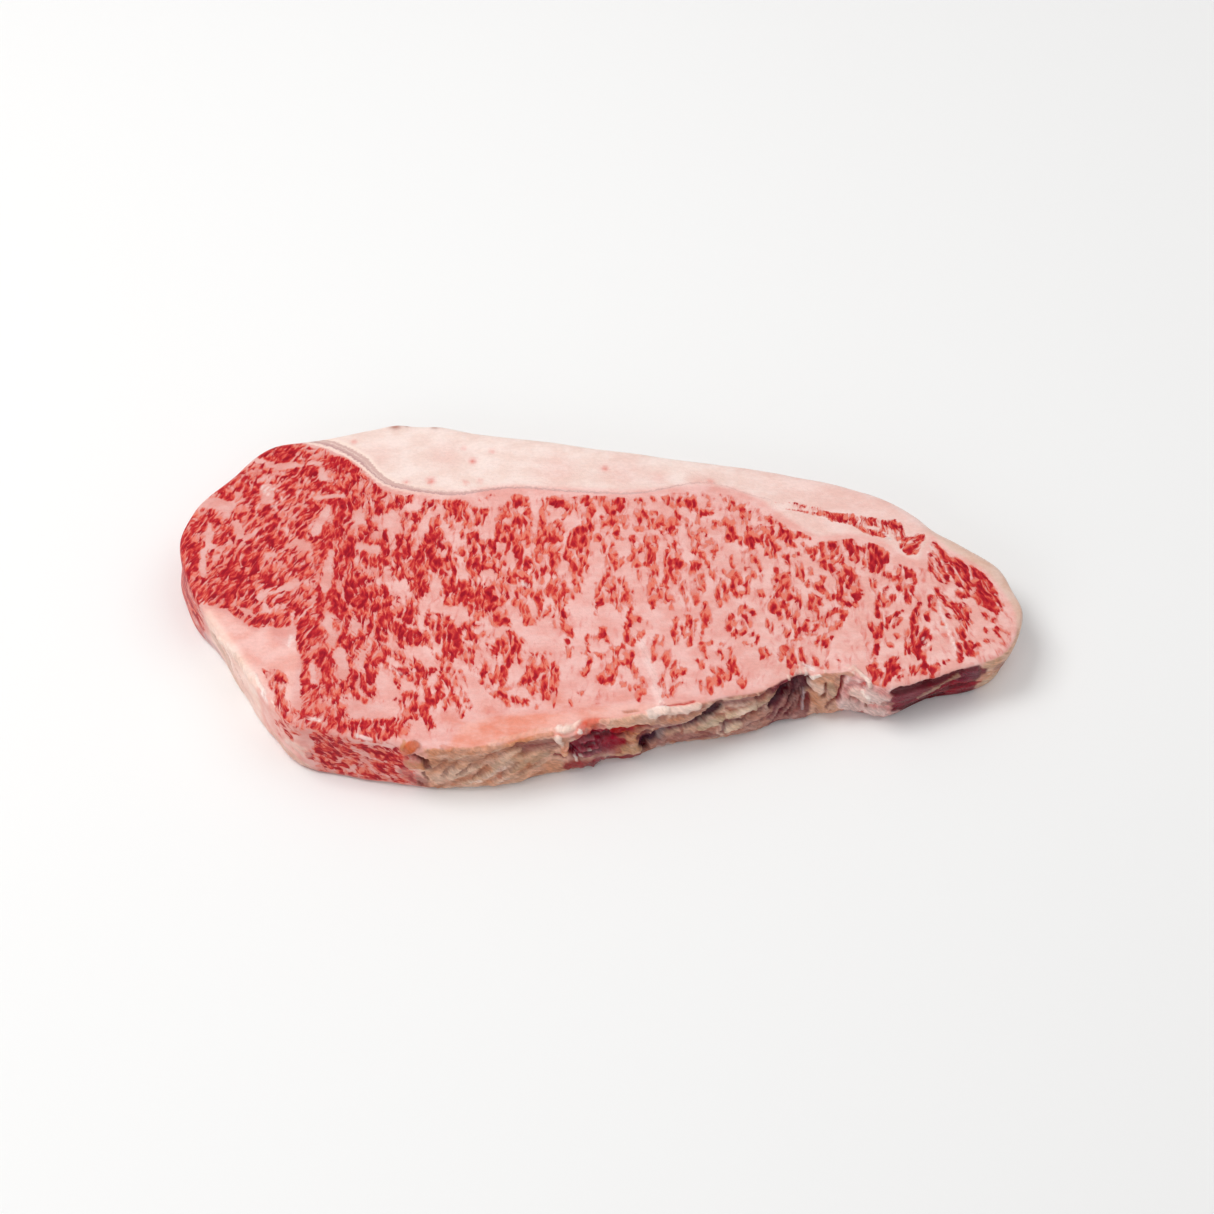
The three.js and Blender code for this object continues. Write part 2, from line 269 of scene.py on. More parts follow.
WALL_MARKS = [
    # the left wall under the wedge: a pale foot, a cream edge, fine swirls, and small painted glints on the
    # wall and the rim
    (-121, 4.5, -112, 0.5, 2.4, 0, FOOT_MAUVE, 0.8), (-112, 8, -106, 3, 2.4, 0.2, FOOT_BEIGE, 0.8),
    (-105, 8, -97, 2, 2.6, 0.2, PALE_PINK, 0.6), (-117.4, 15.5, -117, 11, 0.45, 0.3, WHITE_FAT_AND_GLINT, 0.8),
    (-114.5, 14, -110, 14.5, 1.1, 0.3, CREAM, 0.7), (-110, 14.5, -100.5, 17.3, 1.3, 0.4, CREAM, 0.8),
    (-112.5, 10.5, -108.5, 4.5, 0.35, -0.25, SWIRL, 0.6), (-110.5, 11.5, -106.5, 6, 0.35, -0.25, SWIRL, 0.6),
    (-108, 12.5, -103, 8.5, 0.3, -0.2, SWIRL, 0.5), (-98, 19.6, -95.5, 19.4, 0.7, 0.3, WHITE_FAT_AND_GLINT, 0.7),
    (-93, 19.4, -90, 17.5, 0.4, 0.2, WHITE_FAT_AND_GLINT, 0.6), (-88, 9, -83.5, 7.5, 1.7, 0.2, PALE_PINK, 0.8),
    (-93, 4, -84, 2, 1.4, 0, FOOT_BEIGE, 0.7), (-84, 1.6, -56, 0.6, 0.7, 0, SWIRL, 0.6),
    # brown knots, with a small painted glint
    (-54, 16.5, -51.5, 19.3, 1.7, 0.9, KNOB_ORANGE, 0.9),
    (-54.8, 17.5, -54.4, 19.5, 0.7, 0.3, KNOB_TAN, 0.8), (-53.5, 11.6, -49, 11.4, 1.7, 0.6, KNOB_TAN, 0.9),
    (-51.5, 14.8, -48.6, 13.6, 0.8, -0.8, KNOT_DARK, 0.95),
    (-48.4, 13, -47.6, 10, 0.9, -0.7, SPOT_BROWN, 0.9),
    (-54.5, 13.8, -52.6, 14.6, 0.5, -0.5, KNOT_DARK, 0.8), (-52.6, 9.4, -50.2, 9.6, 0.4, 0.2, WHITE_FAT_AND_GLINT, 0.7),
    (-54.5, 7, -50, 2.5, 2.2, 0, KNOT_BROWN, 0.7), (-53.5, 5.5, -52.5, 4, 0.6, -0.4, KNOT_DARK, 0.7),
    (-51, 3, -50, 1.5, 0.6, -0.4, KNOT_DARK, 0.7), (-49.5, 7.5, -48.5, 5, 0.6, -0.4, SPOT_BROWN, 0.7),
    (-43.4, 20, -41.4, 18.9, 0.9, 0.6, KNOB_ORANGE, 0.6),
    # the dried face: an orange rim, tan below it, a hollow under the rim painted in brown shade that darkens
    # to the right, clefts painted in shade, and small painted glints
    (-46, 17.5, -30, 18.4, 1.5, 0.2, RIM_ORANGE, 0.8), (-46, 12.5, -34, 14, 1.6, 0, TAN_GREY, 0.6),
    (-35, 11.3, -29.5, 14.2, 1.1, -0.5, HOLLOW_SHADE, 0.6), (-30, 14.2, -22, 16, 1.6, -0.6, HOLLOW_SHADE, 0.6),
    (-22, 16, -12.5, 15.6, 2, -0.7, HOLLOW_DEEP_SHADE, 0.75),
    (-20, 13.4, -12, 13.2, 1.3, -0.5, HOLLOW_PURPLE_SHADE, 0.5),
    (-32, 17.6, -12.5, 19.5, 0.7, 0.5, RIM_ORANGE, 0.8), (-30, 19.6, -12, 21.2, 0.9, 0.4, LIP_PALE, 0.6),
    (-42, 5.5, -33, 10.2, 0.8, 0.6, FIBRE_CREAM, 0.8), (-38, 3.5, -29, 8, 0.7, 0.5, FIBRE_CREAM, 0.8),
    (-32.5, 5.8, -26, 8.6, 0.45, 0.5, CREAM, 0.7), (-29, 9.6, -22, 11, 1, 0.4, FIBRE_CREAM, 0.7),
    (-24, 7.5, -14.5, 10.5, 1.2, 0.4, FIBRE_OLIVE, 0.8), (-24, 4, -15, 7, 0.8, 0.3, FIBRE_CREAM, 0.6),
    (-46, 4, -40, 9.5, 0.9, 0.3, FIBRE_CREAM, 0.5), (-46.5, 9, -42.5, 13.5, 0.6, -0.7, CLEFT_SHADE, 0.8),
    (-44, 6.5, -40, 12, 0.5, -0.6, CLEFT_SHADE, 0.7), (-40, 7.5, -35.5, 11.2, 0.5, -0.7, CLEFT_SHADE, 0.8),
    (-35.5, 5.5, -31, 9.8, 0.4, -0.5, CLEFT_SHADE, 0.7), (-31, 3.6, -26, 6, 0.4, -0.4, CLEFT_SHADE, 0.6),
    (-26.5, 6.8, -22, 9, 0.4, -0.4, CLEFT_SHADE, 0.6), (-22, 5, -16, 7.6, 0.4, -0.4, CLEFT_SHADE, 0.6),
    (-19.3, 8, -18.8, 6, 0.7, -0.2, SPOT_ORANGE, 0.4), (-27.8, 5.2, -27.2, 7.2, 0.7, 0.2, SPOT_ORANGE, 0.8),
    (-41, 2.6, -39.5, 2.8, 0.6, 0, SPOT_ORANGE, 0.6), (-36, 3.6, -33, 4.2, 0.4, 0.3, WHITE_FAT_AND_GLINT, 0.6),
    (-28, 3, -25, 4.2, 0.3, 0.2, WHITE_FAT_AND_GLINT, 0.4), (-42, 0.8, -14, 1, 0.7, 0, FIBRE_CREAM, 0.5),
    # a cream knob, its tooth and a drop of fat at the mouth of the wet pocket, with painted shade in the
    # crevice beside the drop
    (-10.2, 21.4, -8.4, 21.8, 1.4, 1, WHITE_FAT_AND_GLINT, 0.8), (-8.4, 21.2, -5.4, 21.2, 1, 0.8, CREAM, 0.8),
    (-10.6, 18.6, -9.6, 16.4, 0.8, 0.9, CREAM, 0.9), (-9.2, 15.6, -8.9, 10, 1, 1.5, DROP, 1),
    (-8.9, 10.4, -8.7, 8.9, 0.75, 0.3, DROP_TIP, 0.9), (-11.6, 8.4, -8.6, 6.6, 0.6, -0.5, FOOT_RED, 0.8),
    (-7.4, 13.8, -6.8, 8.4, 0.8, -1.9, DEEP_SHADE, 1),
    # the pocket: an orange-red lip over a wide wet hollow that runs out to a red line, with painted shade
    # between its folds and small painted glints
    (-5, 8.8, 3.6, 8.6, 3, -0.4, POCKET_MAUVE, 1), (-5.6, 13, 1, 13.6, 2.5, -0.8, POCKET_RED, 0.9),
    (1, 13.2, 9, 12.2, 2.1, -0.7, POCKET_RED, 0.85), (-7.5, 3.4, 1, 2.6, 2, 0.4, FOOT_RED, 0.85),
    (3.6, 9.4, 7.4, 7.6, 1.8, -0.7, POCKET_RED, 0.9), (0, 2.4, 13, 1.4, 1.5, 0, FOOT_RED, 0.9),
    (-5.2, 15.5, -3.6, 19.4, 1, 0.2, LIP_DARK, 0.55), (-3.6, 18.8, 1.5, 18, 2.5, 0.3, LIP_RED, 0.6),
    (-3, 16.4, 5.5, 15.6, 1.5, 0.1, LIP_DARK, 0.6), (4.5, 13.8, 13, 14.3, 1, -0.6, RED_LINE, 0.85),
    (13, 14, 17, 12.8, 1.2, -0.6, FOOT_RED, 0.7), (-5, 19.4, -4.4, 18.6, 0.35, 0.3, WHITE_FAT_AND_GLINT, 0.8),
    (-4.6, 10.6, -0.6, 10.9, 0.4, 0.6, POCKET_LIGHT, 0.8),
    (-4.8, 8.4, 0.6, 8.2, 0.5, 0.8, POCKET_LIGHT, 0.7), (-3.6, 6.6, 1.2, 6.6, 0.4, 0.7, POCKET_LIGHT, 0.8),
    (-4.2, 9.5, 0.5, 9.5, 0.3, -0.6, DEEP_SHADE, 0.8), (-4, 7.5, 1, 7.4, 0.3, -0.6, DEEP_SHADE, 0.8),
    (-2.5, 11.8, 3.5, 11.6, 0.4, -0.7, DEEP_SHADE, 0.7), (-6.4, 6.8, -5.6, 5.4, 0.35, 0.3, WHITE_FAT_AND_GLINT, 0.8),
    (-4.6, 6.2, -3.6, 6.4, 0.3, 0.2, WHITE_FAT_AND_GLINT, 0.7), (-2.4, 8, -1.6, 8.2, 0.25, 0.2, WHITE_FAT_AND_GLINT, 0.7),
    # beige fat beside it, and its flap above the red line, with painted shade under the line and in the
    # notch
    (10.4, 9.4, 12.4, 9, 1.6, 0.3, BESIDE, 0.8), (7, 4.8, 12.4, 5, 1.6, 0.3, BESIDE_OLIVE, 0.75),
    (8.2, 11.6, 9.8, 10.6, 0.7, 0.2, KNOB_ORANGE, 0.6), (9, 7.4, 12.2, 7.4, 0.3, -0.3, SPOT_ORANGE, 0.5),
    (2.5, 11.2, 9.5, 11, 0.7, -0.5, DEEP_SHADE, 0.6), (3, 6, 6.5, 5.4, 0.9, 0, FOOT_RED, 0.6),
    (8.5, 11, 12, 10.2, 0.3, -0.3, SPOT_ORANGE, 0.5), (4.8, 17.4, 15.5, 17.3, 1.9, 0.7, FLAP, 0.9),
    (1.6, 19.4, 3.4, 19, 0.9, 0.6, LIP_PALE, 0.9), (8.2, 20.9, 11.6, 20.6, 0.5, -0.3, SPOT_ORANGE, 0.8),
    (12.8, 8.4, 14.5, 10, 1.2, -0.8, VEIN, 0.9), (14.4, 0, 15, 6, 0.9, -2.4, DEEP_SHADE, 1),
    # the purple crease that climbs from the notch, darkened with painted shade, and the white ridge over it,
    # with small painted glints
    (14.5, 6, 19, 7.4, 2.1, -1.3, CREASE_PURPLE_SHADE, 1), (19, 7.8, 25, 10, 1.9, -1.1, CREASE_MAUVE_SHADE, 0.95),
    (25, 10, 30, 12.8, 1.8, -1.2, CREASE_PURPLE_SHADE, 0.95), (30, 12.8, 35.5, 16.2, 1.9, -1.3, CREASE_DARKEST_SHADE, 1),
    (21.5, 9.2, 24.8, 10.4, 0.35, 0.2, GLINT, 0.8), (17, 12.2, 24, 13.4, 0.8, 0.3, STRAND, 0.8),
    (16.5, 15.2, 24.5, 15.6, 1.3, 0.5, RIM_TAN, 0.9), (24.5, 15.4, 29.5, 16, 0.9, 0.3, RIM_TAN, 0.9),
    (15.8, 19.4, 19.4, 19.6, 1.6, 0.7, WHITE_FAT_AND_GLINT, 0.8), (19.4, 19.2, 29, 18.7, 1.3, 0.5, CREAM, 0.75),
    (18.2, 22.8, 19, 21.4, 0.3, 0.2, WHITE_FAT_AND_GLINT, 0.7), (18.6, 21.9, 20.2, 21.1, 0.4, -0.3, RED_LINE, 0.8),
    (20.2, 21.1, 28.4, 21, 0.4, -0.3, RED_LINE, 0.75), (19, 3, 28, 4, 1.5, 0.6, STRAND, 0.8),
    (18.2, 1.2, 20.8, 1.2, 0.8, 0.2, PALE_ROSE, 0.8), (27, 2.6, 35, 3.4, 0.7, 0, VEIN, 0.7),
    # beige ridges between brown veins
    (31, 8.6, 35.5, 10.4, 1.8, 0.8, OLIVE, 1), (37.5, 6.4, 41, 7, 1.4, 0.7, BEIGE, 1),
    (38.5, 11.6, 45.5, 12.6, 1.2, 0.8, BEIGE, 1), (40.5, 12.2, 43.6, 12.4, 0.5, 0.4, CREAM, 0.5),
    (36, 16.2, 47, 16.2, 1, -0.7, VEIN_SOFT, 0.9), (36, 9.4, 43, 8.8, 0.5, -0.9, VEIN, 0.9),
    (36.3, 5, 37, 8.6, 0.5, -0.7, VEIN, 0.8), (43, 7, 49.5, 7.6, 1.7, 0.5, BROWN_PINK, 0.9),
    (42, 4, 50, 3.4, 1.2, 0.3, BROWN_PINK, 0.9), (43.5, 9.6, 47.5, 9.8, 0.4, -0.6, VEIN, 0.8),
    (44, 5.4, 47.5, 6, 0.4, -0.5, VEIN, 0.8), (47.5, 5, 50, 7, 0.4, -0.5, VEIN, 0.8),
    (46.5, 12.4, 53, 14.2, 1, 0.6, FIBRE_OLIVE, 0.9), (47.2, 15.6, 50.5, 17.2, 1, -1, VEIN, 0.9),
    (46, 10.6, 52, 11.2, 0.5, -0.8, VEIN, 0.9),
    # the recess: a slanting hollow, dark with painted shade, with strands hung across its foot and a painted
    # glint on one of them
    (53.5, 12, 59.5, 15.2, 2.8, -1.2, RECESS_DEEP_SHADE, 0.95), (57, 10, 60.5, 12, 2.3, -0.9, RECESS_DEEP_SHADE, 0.9),
    (51, 9, 55, 12.4, 1.2, -1.1, CREASE_PURPLE_SHADE, 0.95), (51, 4.4, 56, 9, 0.7, 0.8, STRAND, 0.9),
    (53.5, 3.4, 58, 8.6, 0.6, 0.8, STRAND, 0.9), (56.4, 3, 59.2, 9, 0.5, 0.7, VEIN_SOFT, 0.9),
    (52, 2.4, 58.5, 2.2, 0.8, 0.4, STRAND, 0.9), (54.6, 6.6, 57, 11, 0.35, 0.5, VEIN, 0.8),
    (57.8, 8.4, 59, 12, 0.35, 0.5, VEIN, 0.8), (60.3, 4.8, 60.6, 8.8, 0.5, 0.9, GLINT, 0.9),
    (61.8, 3.4, 61.9, 8, 0.9, -0.6, WINE_MAUVE, 0.8),
    # white shreds on the rim
    (62.3, 16.2, 64.6, 17, 0.7, 0.9, WHITE_FAT_AND_GLINT, 0.9), (56.6, 20.4, 57.2, 17.6, 0.3, 0.6, CREAM, 0.7),
    (58.4, 21, 58.8, 18, 0.25, 0.5, CREAM, 0.7), (60.2, 20.6, 60.8, 16.6, 0.35, 0.7, WHITE_FAT_AND_GLINT, 0.8),
    (55, 19.6, 55.6, 17.4, 0.3, 0.4, CREAM, 0.6), (66, 19.8, 66.6, 18, 0.3, 0.4, CREAM, 0.6),
    (75, 20.2, 79.6, 15.4, 0.6, 0.8, CREAM, 0.8), (73, 20.6, 74.2, 18.6, 0.4, 0.6, CREAM, 0.7),
    # a tan lump, then whitish pink ones with small painted highlights
    (62.5, 13, 65.6, 11.6, 1.5, 1, CREAM, 0.7), (64.4, 8.4, 66.4, 4.4, 1.9, 0.8, KNOB_TAN, 0.7),
    (67.8, 13.4, 69.4, 9.8, 1.2, 0.5, FIBRE_OLIVE, 0.9),
    (66.6, 13.4, 66.4, 9.4, 0.45, -0.8, KNOT_BROWN, 0.9), (69.8, 9, 67.4, 5.4, 0.6, -0.6, KNOT_BROWN, 0.9),
    (71.6, 16.2, 70.6, 8.6, 0.55, -1, FOOT_RED, 0.9), (66, 17.2, 73.5, 17.6, 0.9, 0.2, RIM_TAN, 0.8),
    (72.6, 6.4, 75.6, 4, 2.2, 1.1, PALE_ROSE, 1), (75.5, 10.6, 78.5, 9.4, 2, 0.8, PALE_PINK, 1),
    (80, 12.6, 83.5, 10.6, 2, 0.9, PALE_ROSE, 1), (79, 4.4, 83, 4, 1.9, 0.9, PALE_ROSE, 1),
    (77.2, 12.4, 79.5, 11.8, 0.5, 0.4, WHITE_FAT_AND_GLINT, 0.8), (79.5, 8, 82, 7.6, 0.4, 0.3, WHITE_FAT_AND_GLINT, 0.6),
    (76.2, 13.8, 77.6, 15.2, 0.5, -0.6, LIP_DARK, 0.7), (74.5, 8, 76.5, 7, 0.4, -0.6, STRAND, 0.8),
    (78.4, 7.6, 79, 5.8, 0.4, -0.6, KNOT_BROWN, 0.8), (79.9, 10.2, 80.3, 9, 0.5, -0.4, KNOT_BROWN, 0.8),
    (81.5, 7.6, 85, 8.4, 0.6, -0.5, STRAND, 0.8), (84, 9.4, 86, 8, 1.2, -0.2, STRAND, 0.8),
    (76, 1, 84, 0.8, 0.6, 0, VEIN, 0.7),
    # the wine-dark undercut, with painted shade that makes it darkest under the rim, at the foot and in fine
    # lines, and an olive streak across it
    (86.5, 10, 95, 10.6, 1.8, 0, WINE_MAUVE, 0.95), (96, 6.4, 108, 9.6, 1.9, 0, WINE, 0.95),
    (88, 6.4, 96, 5.6, 1.3, 0, WINE_MAUVE, 0.9), (101, 3, 112, 4.4, 1.6, 0, WINE, 0.95),
    (106.5, 11, 112, 11.6, 2.2, 0, PURPLE, 0.95), (91.5, 2.4, 101, 2.6, 1.4, -0.3, WINE_SHADE, 1),
    (86.5, 14, 96, 14.4, 1.6, -0.8, WINE_SHADE, 1), (96, 14.2, 106, 14.4, 1, -0.5, WINE_SHADE, 0.8),
    (94.2, 8.4, 99, 10.4, 1, 0.4, FIBRE_OLIVE, 0.6), (99, 10.4, 105.4, 12.8, 0.8, 0.3, FIBRE_OLIVE, 0.6),
    (97, 5.2, 107, 7.6, 0.3, -0.4, WINE_SHADE, 0.7), (99, 7.6, 108, 10.6, 0.3, -0.4, WINE_SHADE, 0.6),
    (103, 5.6, 111, 7.4, 0.3, -0.3, WINE_SHADE, 0.6), (80, 2, 88, 2.2, 1, 0.2, PALE_ROSE, 0.6),
    # the beige corner at the tip, with small painted glints
    (113.5, 8, 117.5, 8.6, 2.2, 0.2, KNOB_TAN, 0.8), (112.6, 3.6, 117, 3.6, 1.4, 0.3, BEIGE, 0.8),
    (118, 10.6, 121.5, 8, 1.8, 0, WINE_MAUVE, 0.45), (119, 5, 122, 4.4, 1.6, 0, WINE_MAUVE, 0.4),
    (112.4, 14, 112.2, 10, 0.5, -0.5, VEIN, 0.8), (114.4, 9.4, 114.8, 9, 0.35, 0.2, WHITE_FAT_AND_GLINT, 0.6),
    (115.6, 7.4, 116, 7.2, 0.3, 0.2, WHITE_FAT_AND_GLINT, 0.5),
]
mark_masks = [stroke(*mark[:5]) for mark in WALL_MARKS]
for mark, mask in zip(WALL_MARKS, mark_masks):
    out += mark[5] * mask

# The rim is torn in shreds between the flap and the tail. No knob stands much above the face.
CREST_MM = 19.4
CREST_GIVE_MM = 0.8
rim_band = bell((normal[:, 2] - 0.55) / 0.3) * soft_step(-normal[:, 1], 0.05, 0.4)
out += rim_band * zone(50, 82) * 0.6 * lumps(place / 1.5, 16)
out += rim_band * zone(-40, 50) * 0.3 * lumps(place / 2.5, 17)

# A flat map of the skin for a painted copy: the face above, the two walls as strips, the face below.
# Its places are in steps of one 1024th of its side.
MAP_SIZE = 1024
MAP_MARGIN = 12
MAP_CORNER_MM = (127, 63.5)
TOP_ROW, FRONT_ROW, BACK_ROW = 540, 450, 372
TOP_MM_A_STEP, FRONT_MM_A_STEP, BACK_MM_A_STEP, BELOW_MM_A_STEP = 0.265, 0.3, 0.36, 0.38
STRIP_LENGTH = 1000
corner_vertex = np.empty(len(flesh.loops), np.int32)
flesh.loops.foreach_get("vertex_index", corner_vertex)
first_corner = np.empty(len(flesh.polygons), np.int32)
corner_count = np.empty(len(flesh.polygons), np.int32)
flesh.polygons.foreach_get("loop_start", first_corner)
flesh.polygons.foreach_get("loop_total", corner_count)


def mean_of_face(values):
    """Each face's mean, given to every corner of it."""
    mean = np.add.reduceat(values[corner_vertex], first_corner) / corner_count
    return np.repeat(mean, corner_count)


above = mean_of_face(normal[:, 2]) > 0.5
below = mean_of_face(normal[:, 2]) < -0.75
at_front = mean_of_face(y) < 0
corner_x = x[corner_vertex] + MAP_CORNER_MM[0]
corner_y = y[corner_vertex] + MAP_CORNER_MM[1]
corner_z = z[corner_vertex]
corner_rim = rim_at[corner_vertex]
corner_rim = np.where(at_front & (corner_rim < -RIM_LENGTH_MM / 4), corner_rim + RIM_LENGTH_MM, corner_rim)
corner_rim = np.where(~at_front & (corner_rim > RIM_LENGTH_MM / 4), corner_rim - RIM_LENGTH_MM, corner_rim)
back_length = RIM_LENGTH_MM - FRONT_LENGTH_MM
parts_of_map = [above, below, at_front]
map_u = np.select(parts_of_map, [
    corner_x / TOP_MM_A_STEP, corner_x / BELOW_MM_A_STEP, STRIP_LENGTH * corner_rim / FRONT_LENGTH_MM,
], STRIP_LENGTH * (1 + corner_rim / back_length))
map_v = np.select(parts_of_map, [
    TOP_ROW + corner_y / TOP_MM_A_STEP, MAP_MARGIN + corner_y / BELOW_MM_A_STEP,
    FRONT_ROW + corner_z / FRONT_MM_A_STEP,
], BACK_ROW + corner_z / BACK_MM_A_STEP)
flat_map = flesh.uv_layers.new(name="OFBake")
map_places = np.stack([map_u + MAP_MARGIN, map_v], axis=1) / MAP_SIZE
flat_map.data.foreach_set("uv", map_places.astype(np.float32).ravel())

place += normal * out[:, None]
place[:, 2] = np.maximum(place[:, 2], 0)
crest = CREST_GIVE_MM * np.tanh((place[:, 2] - CREST_MM) / CREST_GIVE_MM)
place[:, 2] = np.where(place[:, 2] > CREST_MM, CREST_MM + crest, place[:, 2])

flesh.vertices.foreach_set("co", (place * MM).astype(np.float32).ravel())
flesh.update()
flesh.polygons.foreach_set("use_smooth", np.ones(len(flesh.polygons), bool))

# ---------------------------------------------------------------------------------------------
# The slice, its muscles and seams. The eye of lean is a red mass of fibre bundles in pink fat.
# It is bounded by the fat cap at the back, with a silverskin between them, and by a wedge of
# fat at the lower left. Every outline runs round a muscle or a seam, in millimetres.

CAP_SEAM_MM = [
    (-92, 57), (-87, 54.3), (-80.5, 52), (-75, 48.6), (-70.5, 44.6), (-68, 41), (-65, 37.6), (-61, 35.2),
    (-56, 34), (-50, 33), (-45, 32.3), (-40, 32.5), (-33, 33.9), (-28, 34.6), (-20, 34.5), (-10, 33.3),
    (0, 32.5), (8, 32), (15, 32.7), (21, 34.4), (27, 36.4), (34, 37.4), (40, 35.5), (46, 32.6), (53, 30.5),
]
SILVERSKIN_HALF_WIDTH_MM = [1.2, 1.3, 1.35, 1.4, 1.4, 1.15, 1, 0.9, 0.8, 0.75, 0.7, 0.5, 0.4, 0.35, 0.3, 0.3,
                            0.25, 0.22, 0.2, 0.15, 0.1, 0, 0, 0, 0]
TAIL_STRIP_MM = [
    (52, 31), (60, 30.3), (66, 29.4), (70, 28), (75, 26.6), (80, 25.6), (85, 24.8), (90, 24.5), (92.3, 23.5),
    (93.3, 20), (93.2, 16.2), (90, 15.2), (87.5, 16), (82.5, 16.3), (80.5, 17.6), (77.6, 19.8), (75, 21.2),
    (70.5, 21.4), (69, 23), (65, 24.2), (60, 25), (56.5, 26.4), (53, 28.6),
]
TAIL_CORNER_MUSCLE_MM = [
    (90.2, 15.6), (93, 17.3), (96, 19.2), (99.6, 20.2), (98.8, 16), (98.1, 13), (97.3, 10.3), (95.5, 9.7),
    (92.3, 10.7), (90.2, 12.8),
]
LOWER_LEFT_MUSCLE_MM = [
    (-98.6, -31.4), (-94.3, -31.8), (-91.7, -31.6), (-89, -32.8), (-87.6, -36), (-88.2, -40), (-87.5, -43.5),
    (-84, -47), (-82, -60), (-90, -62), (-93, -48), (-94, -42), (-96.6, -36),
]
WEDGE_MM = [
    (-132, -16), (-119, -14.5), (-116.3, -9.9), (-111.6, -10.7), (-107.3, -13.3), (-104.2, -15.5),
    (-99.9, -18.4), (-94.7, -18), (-93.8, -22), (-90.8, -24.4), (-89.4, -23.2), (-88.2, -20), (-86.7, -25),
    (-85.9, -30), (-86.3, -35.6), (-87, -40), (-86.5, -45), (-85, -53), (-88, -62), (-104, -66), (-132, -40),
]
# The whole of the flesh that is marbled: the eye of lean with its two ends.
EYE_MM = [
    (-132, -16), (-119, -14.5), (-116.3, -9.9), (-111.6, -10.7), (-104, -15.5), (-99.9, -18.4),
    (-88.5, -18.5), (-86.2, -34), (-86.2, -46), (-86, -70), (-48, -70), (-38, -52), (-24, -48.5), (-8, -48),
    (6, -45.5), (28, -44.5), (42, -42.5), (50, -38), (62, -33), (72, -37), (84, -48), (104, -44), (118, -34),
    (123, -20), (122.8, -10.5), (121, -4.5), (118.5, 1), (115.5, 5.5), (110.5, 9.2), (105.5, 12.5),
    (100.6, 17.5), (98.5, 12), (97.5, 7), (93, 8), (88, 12), (84, 16), (76, 17), (66, 15.5), (61, 19),
    (53, 25.5), (49, 29.5), (41, 33.5), (34, 34.8), (27, 34.2), (20, 32.6), (8, 31.4), (-10, 32.5),
    (-28, 33.6), (-40, 31.4), (-50, 31.6), (-58, 32.4), (-64, 34.6), (-69, 39), (-74, 45.5), (-82, 50),
    (-90, 53), (-96, 60), (-112, 60), (-135, 35),
]


def depth_inside(outline):
    """Signed distance to a closed outline in plan: positive inside it."""
    inside = np.zeros(len(x), bool)
    for (x0, y0), (x1, y1) in zip(outline, outline[1:] + outline[:1]):
        if y0 != y1:
            crosses = (y > min(y0, y1)) & (y <= max(y0, y1))
            inside ^= crosses & (x < x0 + (y - y0) * (x1 - x0) / (y1 - y0))
    return np.where(inside, 1, -1) * distance_to_line(outline, closed=True)[0]


